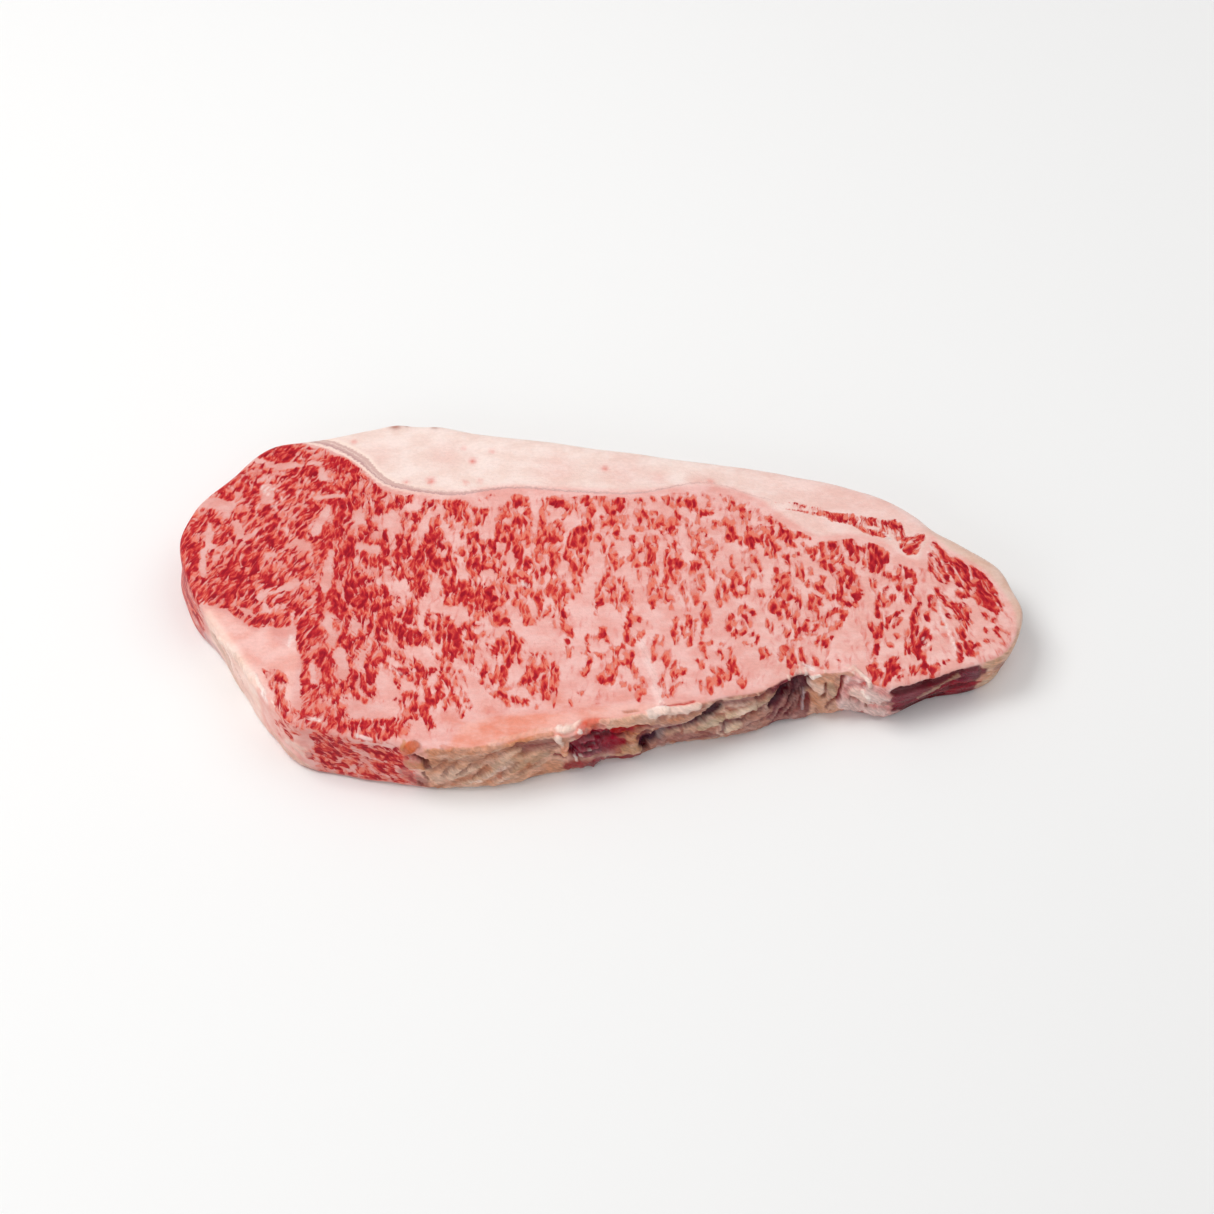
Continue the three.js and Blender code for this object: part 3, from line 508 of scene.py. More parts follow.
# Clumps of lean (+) and lakes or seams of fat (-): x0, y0, x1, y1, half-width, strength.
CLUMPS = [
    # the head's lobe
    (-92.5, 48.5, -89.5, 46, 1.8, 0.9), (-96, 43, -85, 44, 1.1, -0.9), (-79.5, 46, -78, 41, 2.5, 0.8),
    (-75, 44, -72, 42, 1.8, 0.5), (-84, 41, -82.5, 38, 1.6, -0.8), (-93.5, 36, -87, 41.5, 2.6, 0.9),
    (-88.5, 37, -85, 35, 0.7, -0.5), (-85, 34.5, -79, 33.5, 2.2, 0.8), (-73, 38, -73, 31, 2.6, 1),
    (-80, 39, -76, 38.8, 0.6, -0.6), (-69.5, 35.5, -67, 33, 1.5, 0.7), (-85, 30, -76, 31, 0.9, -0.8),
    (-78.5, 28, -77, 23, 2, 0.7), (-75.2, 29, -75.2, 22, 1, 1), (-72.3, 29.5, -71.5, 26.5, 1.6, 0.9),
    (-71.5, 24.5, -70, 21.5, 1.8, -1), (-81, 26, -84, 17, 1.6, -1), (-87, 24, -83, 27.5, 2, 0.8),
    (-79.5, 18.5, -77, 16.5, 2.2, 0.9), (-74.5, 19, -73.5, 16.5, 0.9, 0.6), (-68.5, 25, -69, 20, 1.3, 0.7),
    (-66.5, 28, -65, 24.5, 1.4, 0.8), (-69.5, 18.5, -67.5, 13, 1.8, 0.7), (-70, 11.5, -65, 10, 1.8, -1),
    (-61.5, 25, -61, 19.5, 1.8, -0.9), (-63.5, 16, -63, 9, 1.6, 0.7), (-82.5, 13.5, -80, 8.5, 2, 0.6),
    (-74.5, 14.5, -73.5, 9, 1.6, 0.8), (-78.8, 9, -80, -5, 1.4, -1.1), (-75.5, 6, -74, -4, 3, 0.9),
    (-68.5, 8, -65, 6.5, 1.8, 0.8), (-72, 8, -72.5, 4, 1, -0.6), (-90, 7.5, -88, 2.5, 2.6, 0.8),
    (-89, 13, -86, 11.5, 1.6, -0.7), (-88.3, 20, -87.5, 15, 1.3, 0.9), (-85.5, 2, -84.5, 0, 0.9, 1),
    (-101, 49, -96, 46, 2.4, 0.9), (-105, 46, -96, 42.5, 0.9, -0.9), (-105, 43, -100.5, 41, 1.8, 0.9),
    (-108, 38, -105, 33, 2.4, 0.9), (-99.5, 34, -99, 29.5, 2.2, -1.1), (-118, 28.5, -111, 27.5, 2.6, -1.1),
    (-112, 31.5, -110.5, 30, 1, 0.7), (-113.5, 22, -110.5, 16, 2.6, 1), (-114, 14.5, -112, 13, 1.6, 0.9),
    (-105, 27.5, -103.5, 24, 1.4, 0.9), (-99.5, 26, -97, 22, 1.8, 0.8), (-108, 21, -106.5, 16, 1.2, -1),
    (-105, 14.5, -98, 20.5, 1, -1), (-116, 20, -115.5, 12, 1.2, -1), (-115.5, 11.5, -109, 13, 1, -0.9),
    (-122, 21, -121.5, 3, 1.9, 0.9), (-119.5, 22, -118, 19.5, 1.5, 0.8), (-119.5, 8, -118.5, 2, 1.4, 1),
    (-117, 10, -116.5, 1, 1.2, -1), (-113.5, 8, -110, 4, 2.4, 0.8), (-109, 11.5, -108, 6, 1.8, 0.9),
    (-104, 12, -102.5, 4, 2.6, 1), (-98.5, 17, -95, 12, 2.6, 0.9), (-98, 9, -97.5, 6, 0.8, -0.8),
    (-97, 8.5, -90, 13, 0.9, -0.8), (-98.5, 4, -95, -3, 2.8, 0.9), (-116, -3, -108, -8, 3, 0.8),
    (-105.5, -1, -103, -8, 2.6, 0.8), (-104.5, -10.5, -101, -12.5, 1.2, -0.7), (-99, -7, -89, -2, 1.5, -1.1),
    (-97.5, -10, -96, -12, 1, -0.8), (-99.5, -9.5, -99, -15, 1, 0.9), (-97, -14, -96.5, -17, 1, 0.9),
    (-94, -8, -92, -16, 2.8, 1),
    # the long streaks beside it
    (-93, -9, -91, -12, 3.2, 1), (-94, -15, -92, -18, 2, 0.8), (-93, -20.5, -91.5, -23.5, 1.8, 1),
    (-89.3, -11, -88.8, -20, 0.6, -1), (-89.5, -19.5, -88, -24, 1.3, -1.2),
    (-88, -24, -86.8, -34, 1.6, -1.2), (-86.8, -34, -87.5, -40, 1.2, -1.1), (-84, -4, -81.5, -8, 2.2, 0.8),
    (-80, -11, -79.5, -14, 1.6, 0.6), (-86, -15.5, -83.5, -18, 2.4, 0.9), (-83.5, -21, -80, -21.5, 2.8, 1),
    (-78.5, -13, -77.5, -23, 1.6, -1), (-75.5, -16.5, -73, -19, 1.6, 0.8),
    (-73.5, -21, -73, -24.5, 1.1, 0.9), (-73.5, -8, -73, -14, 1.6, 0.7), (-77.5, -6, -77, -12, 1.4, 0.9),
    (-74.5, -27, -72.5, -36, 2, -1.1), (-71, -15.5, -71, -20, 1, -0.9), (-67.5, -3, -67.5, -15, 2.4, 1),
    (-63.5, -5, -63.5, -22, 2.2, 0.95), (-65, -12, -65.5, -19, 0.4, -0.7), (-68.5, -20, -70.5, -30, 1.4, 1),
    (-70.5, -34, -74, -41, 1, 1), (-69.5, -36, -68.5, -42, 1, 0.8), (-68, -27, -67.5, -34, 1, -1),
    (-64.5, -26, -66.5, -37, 1.7, 0.95), (-67, -39, -66, -45, 0.8, 0.8), (-63.5, -35, -64.5, -42, 0.7, 0.8),
    (-61.5, -26, -62, -29.5, 1.1, 0.8), (-74.3, -38.5, -74, -45, 0.7, 0.8),
    (-71.5, -43, -72.5, -49, 0.9, 0.9), (-86, -23, -85, -34, 1.8, 1), (-84.5, -36, -82.5, -41, 2.2, 1),
    (-83.3, -43, -83, -48.5, 1, 1), (-82.5, -31.5, -81.5, -38, 1.4, -0.8), (-81, -27, -77.5, -31, 2, 0.8),
    (-78, -34, -76.5, -41.5, 1.2, 0.8), (-81, -40, -79.5, -44.5, 1.2, 0.8), (-92, -36, -90.5, -44, 0.8, 1),
    (-88.5, -41, -87.5, -47, 1.2, 0.9), (-68, -47, -60, -48, 3.4, -1.2), (-62, -37, -59, -42, 2.4, -1),
    (-66, -54.5, -57, -52.2, 3.4, 0.9), (-63.5, -54, -59.5, -53, 0.8, -0.4),
    (-75.5, -51, -73, -53.5, 1.6, 0.7), (-79.5, -54, -77, -57, 1.8, 0.9),
    # the upper middle of the eye
    (-61, 26, -57, 31, 2.5, 0.7), (-50.5, 29, -53, 24, 1, 0.7), (-53, 24, -56, 17, 1.5, 0.7),
    (-48, 30, -49.5, 27, 1, 0.5), (-58.5, 22, -57, 24, 1.6, 0.7), (-56.5, 20, -56, 14, 1.8, 0.7),
    (-58, 14, -57, 9, 2.2, 0.9), (-60, 6, -58, 2, 3.2, 1), (-48, 22, -47.5, 16, 1.8, 0.9),
    (-49.5, 15, -50, 10, 2.2, 1), (-51.5, 8, -53, 1, 2.3, 1), (-51, 0, -51, -6, 1.5, 0.8),
    (-54.5, -1, -53, -8, 1.6, 0.8), (-57, 3, -55, -2, 1.2, 0.7), (-44.8, 29, -44.5, 22, 1.2, 0.8),
    (-42, 28.5, -41.5, 23, 1.3, 0.7), (-43.5, 21.5, -42.5, 18, 1, 0.6), (-39.5, 28, -38.5, 21, 1.5, 0.9),
    (-36.5, 26, -37.5, 21, 1.2, 0.7), (-34, 25.5, -35, 20.5, 1.3, 0.9), (-32.3, 27, -33.5, 24, 0.8, 0.7),
    (-35, 30, -31, 32, 0.7, 0.5), (-40, 17, -39.5, 13, 1.3, 0.8), (-37, 16.5, -36, 11, 2, 0.9),
    (-39, 10, -36.5, 5, 2.4, 1), (-33.5, 10, -34, 6.5, 1.8, 0.9), (-31.5, 13, -31, 8, 1.6, 0.8),
    (-38, 4, -36, 2, 0.9, 0.7), (-35.5, 2, -33.5, 4, 1.4, 0.7), (-31.5, 7, -30, 2.5, 1.1, 0.9),
    (-45.5, 13, -44.5, 11.5, 1.8, 0.7), (-29, 8, -28, 5.5, 1.1, 0.7), (-46.5, 6, -43, 6, 2.1, 0.9),
    (-46.5, 3, -45.5, 1, 1.2, 0.8), (-42.5, 4, -42, 1.5, 1.2, 0.8), (-49, 7, -48.7, 5, 0.8, 0.6),
    (-44, -1, -43, -8, 1.9, 1), (-42, -2, -40.5, -7.5, 1.8, 0.9), (-38.5, -2.5, -37.5, -5, 1.6, 0.8),
    (-36.8, -1, -36, -2.5, 1.1, 0.6), (-30, 0, -30.2, -3.5, 1, 0.7), (-34.5, -4, -34, -9, 1.6, 0.8),
    (-32, -5, -31.5, -9, 1.6, 0.9), (-36, -6.5, -36.5, -8.5, 1, 0.6), (-28.5, 27, -29, 19, 1.5, 0.7),
    (-28, 19, -27.8, 15.5, 2, 1), (-26.8, 29, -26.5, 23.5, 0.9, 0.9), (-23.8, 31, -23.5, 28.5, 1.6, 1),
    (-24.3, 27, -24, 20, 1.4, 0.7), (-25.8, 16.5, -26, 10.5, 1.5, 0.7), (-23.6, 17, -23.8, 10.5, 1.5, 0.9),
    (-21.5, 30, -20, 24, 1.1, 0.8), (-21, 23, -20.8, 17, 1.6, 0.9), (-20.5, 16, -20, 12.5, 1, 0.7),
    (-16.2, 28, -15.8, 24.5, 1.3, 0.7), (-16.2, 23, -16, 17, 1.4, 0.9), (-17.5, 17, -17.7, 14, 1, 0.7),
    (-17, 13, -17.3, 7, 1.4, 0.7), (-18.5, 11, -18.5, 9, 1, 0.6), (-13, 29.5, -11, 26.5, 1.8, 1),
    (-10, 27, -9.5, 24, 1.3, 0.9), (-17, 29.7, -15, 29.7, 0.8, 0.6), (-13.5, 19, -12, 16, 2.2, 0.9),
    (-11.5, 21, -10.2, 17.5, 1.3, 0.7), (-13.2, 14, -12.5, 9, 2, 0.8), (-12.5, 8, -12.5, 5.5, 1.7, 1),
    (-10.3, 6.5, -9, 7.5, 1.2, 0.9), (-23, 8, -22, 3.5, 2, 0.8), (-20, 6.5, -19.3, 3.5, 1.2, 0.7),
    (-28, 2.5, -26.5, -0.5, 1.8, 0.8), (-24.5, 2, -23.5, -0.5, 1.5, 0.8), (-21, 2.5, -20.5, 0, 1.3, 0.7),
    (-18.3, 2, -17.5, 0, 0.9, 0.7), (-27, -1, -27.3, -5, 1.4, 0.8), (-27, -6, -26.5, -8, 0.9, 0.7),
    (-19.5, -0.5, -19, -2.5, 1, 0.6), (-22, -5, -22.5, -9, 2, 0.7), (-21, -2, -18, -7, 0.8, 0.8),
    (-17, -5, -17, -9, 1.2, 0.7), (-16, 3, -15.8, -2, 0.8, 0.7), (-13.8, 3.5, -13, 1.5, 1.6, 1),
    (-12.5, 0, -12, -3, 1.3, 0.7), (-14, -4, -13.8, -7, 1, 0.6), (-11.8, -5.5, -11, -9, 1.5, 0.8),
    (-9.6, 0.5, -9.3, -8.5, 0.9, 0.7), (-10, 28.5, -8, 26, 1.3, 0.8), (-6.5, 30.5, 2, 30.5, 1, 0.6),
    (-2.5, 28.5, -1.5, 25.5, 1.6, 1), (1.5, 30, 2.5, 28, 1.6, 0.9), (4.8, 28.5, 4.6, 27, 0.8, 0.6),
    (7.5, 29.5, 8.5, 27.5, 1.6, 0.8), (8.3, 27, 8.8, 19, 1.1, 0.9), (-6.2, 28.5, -5.6, 25.5, 0.8, 0.6),
    (12.5, 29.5, 14, 28.5, 1.3, 0.7), (16.5, 31, 17.5, 29.5, 0.8, 0.6), (13, 25, 12.8, 18.5, 1.7, 0.9),
    (16, 25, 18, 24.5, 0.9, 0.8), (18.8, 24, 18.6, 21.5, 0.8, 0.8), (17, 21.5, 18, 20, 1.1, 0.7),
    (15, 19, 17.5, 18.7, 1, 0.7), (15.8, 22.5, 16.2, 20.5, 0.7, 0.7), (20.5, 23, 21.5, 17, 1.4, 1),
    (22.5, 22, 24.3, 20, 1, 0.7), (23, 18.5, 23, 16.5, 0.9, 0.7), (19.5, 16.5, 20.5, 14.5, 1, 0.7),
    (21.5, 29.5, 24, 27.5, 1.8, 0.8), (26, 29.5, 29.5, 28, 1.6, 0.8), (27.5, 27.5, 28, 25.5, 1.1, 0.6),
    (27, 32, 29.5, 31, 0.9, 0.5), (23.5, 24, 24.5, 23, 1.2, 0.7), (19.8, 24.5, 19.8, 22, 0.7, 0.7),
    (33, 31.5, 34.5, 30.5, 1, 0.6), (33.5, 28.5, 34.3, 27.5, 0.9, 0.6), (31, 25, 34, 24.5, 1.2, 0.9),
    (30.5, 23, 30, 21, 0.8, 0.6), (33.5, 22, 34, 19, 0.8, 0.6), (35.5, 21.5, 35.3, 19.5, 0.8, 0.6),
    (37.5, 31.5, 39.5, 31, 1, 0.6), (38, 29.5, 37.5, 26.5, 0.9, 0.6), (40.5, 29, 41, 27, 1, 0.6),
    (26, 22.5, 27.5, 20.5, 1.2, 0.6), (27.5, 19, 28, 16, 1, 0.6), (31.5, 18.5, 31.8, 16, 1.2, 0.8),
    (29.5, 15.5, 29, 12, 1.6, 0.8), (32.5, 14.5, 32.3, 12.3, 1.4, 1), (34.5, 14.5, 36, 10.5, 1.2, 0.6),
    (28.8, 11.5, 29.5, 9.5, 1, 0.9), (31.5, 9, 31.5, 7.5, 1, 0.7), (34.5, 10, 35.3, 7, 0.8, 0.8),
    (4.5, 26, 4.6, 20.5, 1.8, 1), (5, 20, 6, 17, 1.1, 0.8), (6.2, 16.5, 7.2, 14.5, 0.8, 0.8),
    (1.3, 23, 1.5, 19, 0.9, 0.6), (-3, 23, -2.8, 18, 1.8, 0.7), (-1, 19, -0.8, 15, 1, 0.7),
    (1.5, 15.5, 3.5, 16.5, 1.1, 0.6), (0, 14, 1, 14.3, 0.9, 0.7), (-3.3, 15.5, -3, 12.5, 0.9, 1),
    (-6, 17.5, -6, 11, 1.8, 0.9), (-8.5, 15, -8.5, 9, 1, 0.7), (-5.8, 10, -5.3, 6.5, 1.2, 0.9),
    (-8.7, 8, -8, 4.5, 1.4, 0.8), (-2.5, 9, -4, 5.5, 1.3, 0.7), (-6.5, 4.5, -6, 1, 1.5, 1),
    (-3.5, 3.5, -4.5, 2, 1.2, 0.8), (-6.3, 0, -6, -2.5, 1.1, 0.9), (-4, -0.5, -3.7, -1.5, 1, 0.6),
    (-5.3, -4, -5, -5.5, 0.8, 0.6), (-8, -5, -7, -8, 1, 0.7), (1.8, 13, 2, 9.5, 0.9, 0.8),
    (2.7, 8.5, 4.5, 5, 0.8, 0.8), (4.2, 11.5, 5.5, 8, 1.2, 0.6), (5, 7, 8, 6, 1.5, 0.9),
    (5.5, 4.5, 6.5, 4, 1, 0.9), (4.5, 2.5, 4, 0.5, 1.2, 0.7), (3, -0.5, 3.3, -2.5, 1.2, 0.9),
    (6.5, -0.5, 8, -3, 1.1, 0.7), (1, -3, 1.3, -8, 1.5, 0.8), (4.3, -5.5, 4.5, -8, 1.4, 1),
    (7.5, -7, 8, -9, 1, 0.6), (9.5, -5.5, 10, -9, 1.3, 0.8), (5.5, -4, 6.5, -5, 0.8, 0.6),
    (0, -9.5, -0.3, -13, 0.7, 0.8), (1.7, -9, 1.5, -11.5, 0.7, 0.7), (5.5, -9, 6.3, -11.5, 0.9, 0.7),
    (11, 14.5, 11.5, 12.5, 1.5, 0.8), (14.5, 15, 14.8, 12, 1, 0.6), (16, 16, 16, 13, 1, 0.6),
    (18, 14.5, 18, 11, 0.9, 0.6), (12, 10, 11.5, 6.5, 1.3, 0.9), (11.5, 6.5, 12, 4.5, 1, 1),
    (13.5, 11, 13, 9, 0.7, 0.6), (16.5, 10.5, 16.5, 5.5, 1.8, 0.8), (12.5, 4.8, 15, 4.5, 0.9, 0.8),
    (17.5, 3, 17.7, 0.5, 1.1, 0.6), (16, 0.5, 16.3, -2, 1.2, 0.9), (12.5, 1.5, 12.6, -2.5, 0.9, 0.6),
    (15.5, -4, 16, -8.5, 1.4, 0.8), (18.7, -5, 19.5, -9, 1.2, 0.8), (17.3, -9, 16.7, -11, 0.8, 0.8),
    (22, 11.5, 23.5, 12.3, 0.9, 0.6), (20.5, 10, 20.8, 7, 0.9, 0.6), (24.5, 10, 24.3, 8, 0.8, 0.6),
    (21.5, 6, 24.5, 5, 1.3, 0.8), (22.5, 4.5, 22, 0.5, 2, 1), (20.8, -1, 20.6, -8, 1.3, 0.9),
    (22.8, -2, 22.8, -8.5, 1.4, 0.7), (21.6, -9, 21.8, -11.5, 0.8, 0.7), (25.5, -1.5, 26, -8.5, 0.9, 0.7),
    (26.5, -8, 26.8, -12, 0.8, 0.6), (28.3, -2, 29, -6, 1.1, 0.7), (31, 0.5, 31.5, -5, 1, 0.8),
    (29.3, -6, 29.5, -9, 1.3, 0.9), (28.5, 4.5, 28.3, 2.5, 1.5, 0.7), (30.5, 4, 30.3, 3, 0.8, 0.6),
    (33, 5.5, 33.5, 4, 1, 0.6), (34.5, 3, 34.3, 0.5, 1.2, 0.9), (36, -0.5, 37, -3, 1.3, 0.8),
    (35.8, -4, 36, -10, 0.8, 0.9), (38, -4.5, 38, -8, 0.9, 0.8),
    # the lower middle, with its flames, arches and rings
    (-48.5, -13.5, -49, -17, 1.2, 0.8), (-46, -15, -43, -16.5, 1.8, 0.8), (-47, -18, -46, -21, 2, 0.9),
    (-43, -19, -42.5, -30, 2.4, 1), (-50, -19.5, -48, -26, 1, 0.9), (-48, -26, -46, -31, 0.6, 0.8),
    (-57, -13, -54, -16, 2, 0.9), (-60, -17, -57, -19, 1.5, 0.7), (-57.5, -20, -50, -22, 1.6, 0.9),
    (-55, -23.5, -50.5, -24, 1, 1), (-57, -22, -56.5, -26, 0.9, 0.9), (-59, -8, -58, -10, 1.2, 0.8),
    (-55, -9, -53, -13, 1.6, 0.8), (-61.5, -9, -61, -20, 1.2, 0.9), (-38.5, -9, -36.5, -12, 0.8, 0.8),
    (-36.5, -12, -36.5, -17, 1, 0.7), (-34, -9.5, -34.5, -14, 1.4, 0.9), (-31.5, -9, -32, -12.5, 1.6, 0.9),
    (-28, -8.5, -29, -12, 1.6, 0.9), (-26.5, -11, -26.8, -12.5, 0.9, 0.7),
    (-30.5, -14.5, -29, -17.5, 1.2, 0.9), (-28, -15.5, -26, -16.5, 1.2, 0.8),
    (-37.5, -18.5, -37, -22, 1.5, 0.8), (-34, -18, -33, -21, 1.2, 0.8), (-35.5, -22, -35, -26, 1.3, 0.9),
    (-38.5, -25, -37, -30, 1.6, 0.9), (-35.5, -28, -35.5, -33, 0.9, 0.8), (-40, -20, -40.5, -27, 1.2, 0.9),
    (-42, -33, -44.5, -36, 1, 0.8), (-44, -34, -45.5, -44, 0.9, 1), (-41.5, -35, -38, -42, 0.7, 0.8),
    (-38, -42, -35.5, -48, 0.8, 0.8), (-43, -37, -39.5, -46, 0.7, 0.8), (-39.5, -46, -38.5, -50.5, 0.8, 0.9),
    (-43.5, -42, -42.5, -49, 0.7, 0.7), (-39, -34, -36, -42, 0.5, 0.7), (-47.5, -34, -49, -36, 1.2, 0.9),
    (-49, -37, -48.5, -41, 0.8, 0.8), (-47.7, -43, -47, -46, 1.2, 0.9), (-58.5, -28, -56, -30, 1.6, 0.7),
    (-60, -32, -56, -35, 1, 0.9), (-56, -34, -52, -36, 1.6, 0.9), (-52, -31, -50, -35, 1.3, 0.8),
    (-53.5, -37, -51.5, -39, 1, 0.8), (-57.5, -36, -57, -40, 0.6, 0.8), (-57.8, -43.5, -56, -45, 0.9, 0.9),
    (-55, -42, -52, -42.5, 1.2, 0.8), (-55, -46, -54, -49, 1, 0.8), (-52, -44.5, -52.5, -49.5, 1, 0.9),
    (-54, -50, -51, -50.5, 0.8, 1), (-49.5, -46, -48.5, -50, 1.3, 0.9), (-48.5, -50.5, -47, -53.5, 1, 0.8),
    (-30, -29, -26, -20.5, 1.1, 0.9), (-31.5, -25, -32, -32, 0.9, 0.8), (-33, -35.5, -31.5, -33, 1.2, 0.9),
    (-33.5, -37, -32, -39, 1, 0.7), (-28.5, -33, -29.5, -37, 1, 0.8), (-24, -22.5, -24, -30, 2.2, 1),
    (-25.8, -22, -26, -40, 0.7, 1), (-27.5, -33, -27, -40, 0.8, 0.8), (-29.5, -38, -30, -42, 0.6, 0.7),
    (-28.2, -42, -25, -44.5, 1.4, 0.9), (-24.5, -43.5, -20.5, -44.5, 1.4, 0.8),
    (-17.5, -28, -18.5, -32, 1, 0.8), (-19, -33, -21, -38.5, 1.2, 0.8), (-17, -33, -18, -42, 1, 0.8),
    (-14.5, -28, -15.5, -33, 1.2, 0.8), (-13, -32, -12, -36, 1.6, 0.9), (-14.5, -37, -14.5, -44, 1.3, 0.9),
    (-12, -38, -12, -46, 1, 0.8), (-17.5, -44.5, -17, -47.5, 0.8, 0.7), (-21, -12, -19.5, -16, 1.6, 0.9),
    (-22.5, -8.5, -21.5, -11, 0.9, 0.8), (-16.5, -9, -15.5, -15, 1.1, 0.8),
    (-13.5, -11, -12.7, -17.5, 0.7, 0.7), (-11, -8.5, -10.5, -13, 0.7, 0.8), (-9.5, -13.5, -9, -18, 1, 0.9),
    (-8, -12.5, -8.5, -18, 1, 0.8), (-9, -18, -7.5, -21, 0.9, 0.9), (-8.2, -23.5, -8, -28, 1.1, 0.9),
    (-3.5, -28, -2.5, -23.5, 0.7, 0.8), (-2.5, -22, 0, -21.8, 0.9, 0.8), (2, -18.8, 1.5, -21.5, 1.1, 0.8),
    (2.5, -20.5, 4, -25, 0.7, 0.8), (-1.2, -28, -1.5, -31, 0.7, 0.8), (-0.5, -27.5, 1.5, -28.5, 0.8, 0.7),
    (-1.5, -31, -3.5, -35.5, 0.9, 0.8), (6.5, -26, 5.5, -30, 0.9, 0.8), (7.5, -25.5, 9.5, -27.5, 1, 0.9),
    (9.8, -28, 9.5, -31, 1.3, 0.8), (6.5, -31, 8.5, -31.5, 1.2, 0.8), (4.5, -31.5, 1.3, -36, 0.9, 0.8),
    (1.5, -37.5, 4.5, -37.5, 1, 0.8), (5.5, -33, 4.8, -36.5, 0.8, 0.7), (7, -35.5, 7.5, -38, 0.9, 0.7),
    (8.5, -38.5, 9.5, -40, 1, 0.8), (10.5, -33, 12, -36, 1.2, 0.8), (13, -36.5, 14, -42, 0.8, 0.8),
    (11.5, -39, 12.3, -44.5, 0.8, 0.8), (10.3, -11, 9.3, -18, 0.8, 1), (8.7, -18, 9.2, -23.5, 0.9, 0.9),
    (11.5, -15, 13.5, -16, 1, 0.7), (13.8, -17, 13.3, -20.5, 1.1, 0.8), (12.5, -21.5, 10.5, -24.5, 0.8, 0.8),
    (17, -24, 16.5, -30, 0.9, 0.8), (18.2, -22, 19.5, -23.5, 1.4, 0.8), (20, -24.5, 21.5, -29, 1, 0.8),
    (20, -29.5, 21, -33, 1.2, 1), (22.5, -31.5, 25, -34, 1.3, 0.9), (22, -35, 22.8, -37, 1, 0.9),
    (19.8, -34, 19, -38.5, 0.7, 0.8), (18.7, -39, 19, -43, 0.8, 0.9), (21.5, -40.5, 24.5, -38, 0.7, 0.8),
    (21, -43, 22.3, -41, 0.7, 0.7), (23.5, -15.5, 23, -20, 1.1, 0.9), (23, -20.5, 23.3, -24, 0.9, 0.8),
    (25.5, -18.5, 25.5, -21, 1, 1), (27, -14.5, 26.8, -18.5, 0.8, 0.8), (28.8, -16, 28.2, -19, 0.9, 0.8),
    (27.8, -20, 27.6, -24.5, 0.8, 0.9), (32.5, -10.5, 32.3, -17, 1.5, 0.8), (31, -18.5, 31, -22, 0.6, 0.8),
    (29.5, -24.5, 33.5, -23.8, 0.8, 0.8), (31.2, -26.5, 31.7, -29, 1, 0.8),
    (29.5, -30.5, 30.5, -32, 0.8, 0.8), (36.5, -24, 37.5, -24.5, 0.7, 0.6), (35.7, -27, 37, -29.5, 0.9, 0.7),
    (38.5, -25.5, 39.8, -30, 0.6, 0.7), (39, -31, 40.5, -34.5, 1.1, 0.9), (38.3, -33, 38.5, -37, 0.8, 0.8),
    (35, -34, 36, -36, 1.4, 0.8), (34, -36.5, 35.5, -39, 1, 0.7), (32.5, -37, 32.7, -41.5, 1.1, 0.9),
    (30.2, -38, 31, -42, 0.8, 0.8), (42, -36.5, 42, -39.5, 1, 0.6), (-5, -42, -3.5, -41.5, 0.8, 0.6),
    (-7, -44, -5.5, -44, 1, 0.6), (-7.5, -46, -8, -49, 0.7, 0.5), (1, -46, 2, -48, 1.2, 0.5),
    # towards the tail, near the cap
    (39.5, 26, 39, 20.5, 1.2, 0.7), (41.5, 28.5, 42, 27, 1, 0.6), (44, 28, 44, 26, 0.7, 0.6),
    (45, 25, 45, 22.3, 1.6, 0.9), (48.5, 26.5, 48.8, 22.5, 0.8, 0.7), (42, 23.5, 42, 21, 1, 0.6),
    (40.5, 18.5, 40, 15, 1.4, 0.9), (46, 18.5, 46, 13.5, 1.6, 0.9), (44.3, 15, 43.8, 10.5, 1.1, 0.9),
    (46.5, 12.5, 48, 10.5, 0.6, 0.7), (49.5, 20, 48.5, 19, 1, 0.8), (51.5, 19, 52, 16, 1.3, 0.7),
    (49.5, 16, 49.3, 14, 0.8, 0.7), (51.5, 23.5, 53, 22.5, 1.1, 0.6), (53.3, 21.5, 55.5, 20.5, 0.8, 0.7),
    (50.5, 13.5, 52, 14.5, 1, 0.7), (51.8, 12.5, 52, 9.5, 1.5, 1), (53.5, 13, 54, 11.5, 0.8, 0.6),
    (55.5, 17, 58.5, 17, 1.8, 0.9), (60, 18.3, 64, 16.2, 0.8, 0.8), (57.5, 14.5, 58.5, 13.2, 1.2, 0.9),
    (62, 13.5, 62.8, 11, 0.9, 0.7), (64, 11.5, 66, 12, 1.1, 0.7), (69.5, 13.5, 69.5, 11.5, 2.6, 1.1),
    (75.5, 14.5, 76.5, 12, 1.8, 1), (78.5, 12, 79, 8, 1.4, 1), (76.5, 9.5, 77.5, 8, 1.2, 0.8),
    (82, 13, 84.5, 12, 1.8, 0.9), (83, 11, 83, 7, 2.2, 1), (85.5, 11, 86, 8, 1.4, 0.8),
    (80.5, 7, 82, 5, 1.3, 0.9), (79, 5, 77.5, 5.3, 0.8, 0.8), (56.5, 8.5, 57, 6, 1, 0.9),
    (58.5, 9.3, 60, 10, 0.8, 0.8), (60, 6.5, 60.3, 2.5, 1.1, 1), (61, 1.5, 62.5, -1.5, 0.7, 0.8),
    (64, 5, 63.5, 3, 0.9, 0.8), (65.5, 8, 67, 6.5, 1.8, 0.9), (68.5, 5.5, 69.8, 4.8, 1.2, 0.8),
    (64.5, 9.3, 68, 9, 0.7, 0.7), (70.5, 9, 71, 7.5, 0.8, 0.6), (72.5, 9.3, 73, 7, 1, 0.7),
    (74, 6, 75, 5.3, 0.8, 0.7), (53.5, 3.5, 53.5, 1.5, 1.1, 0.8), (56.5, 2, 56.5, -1.5, 1.5, 0.9),
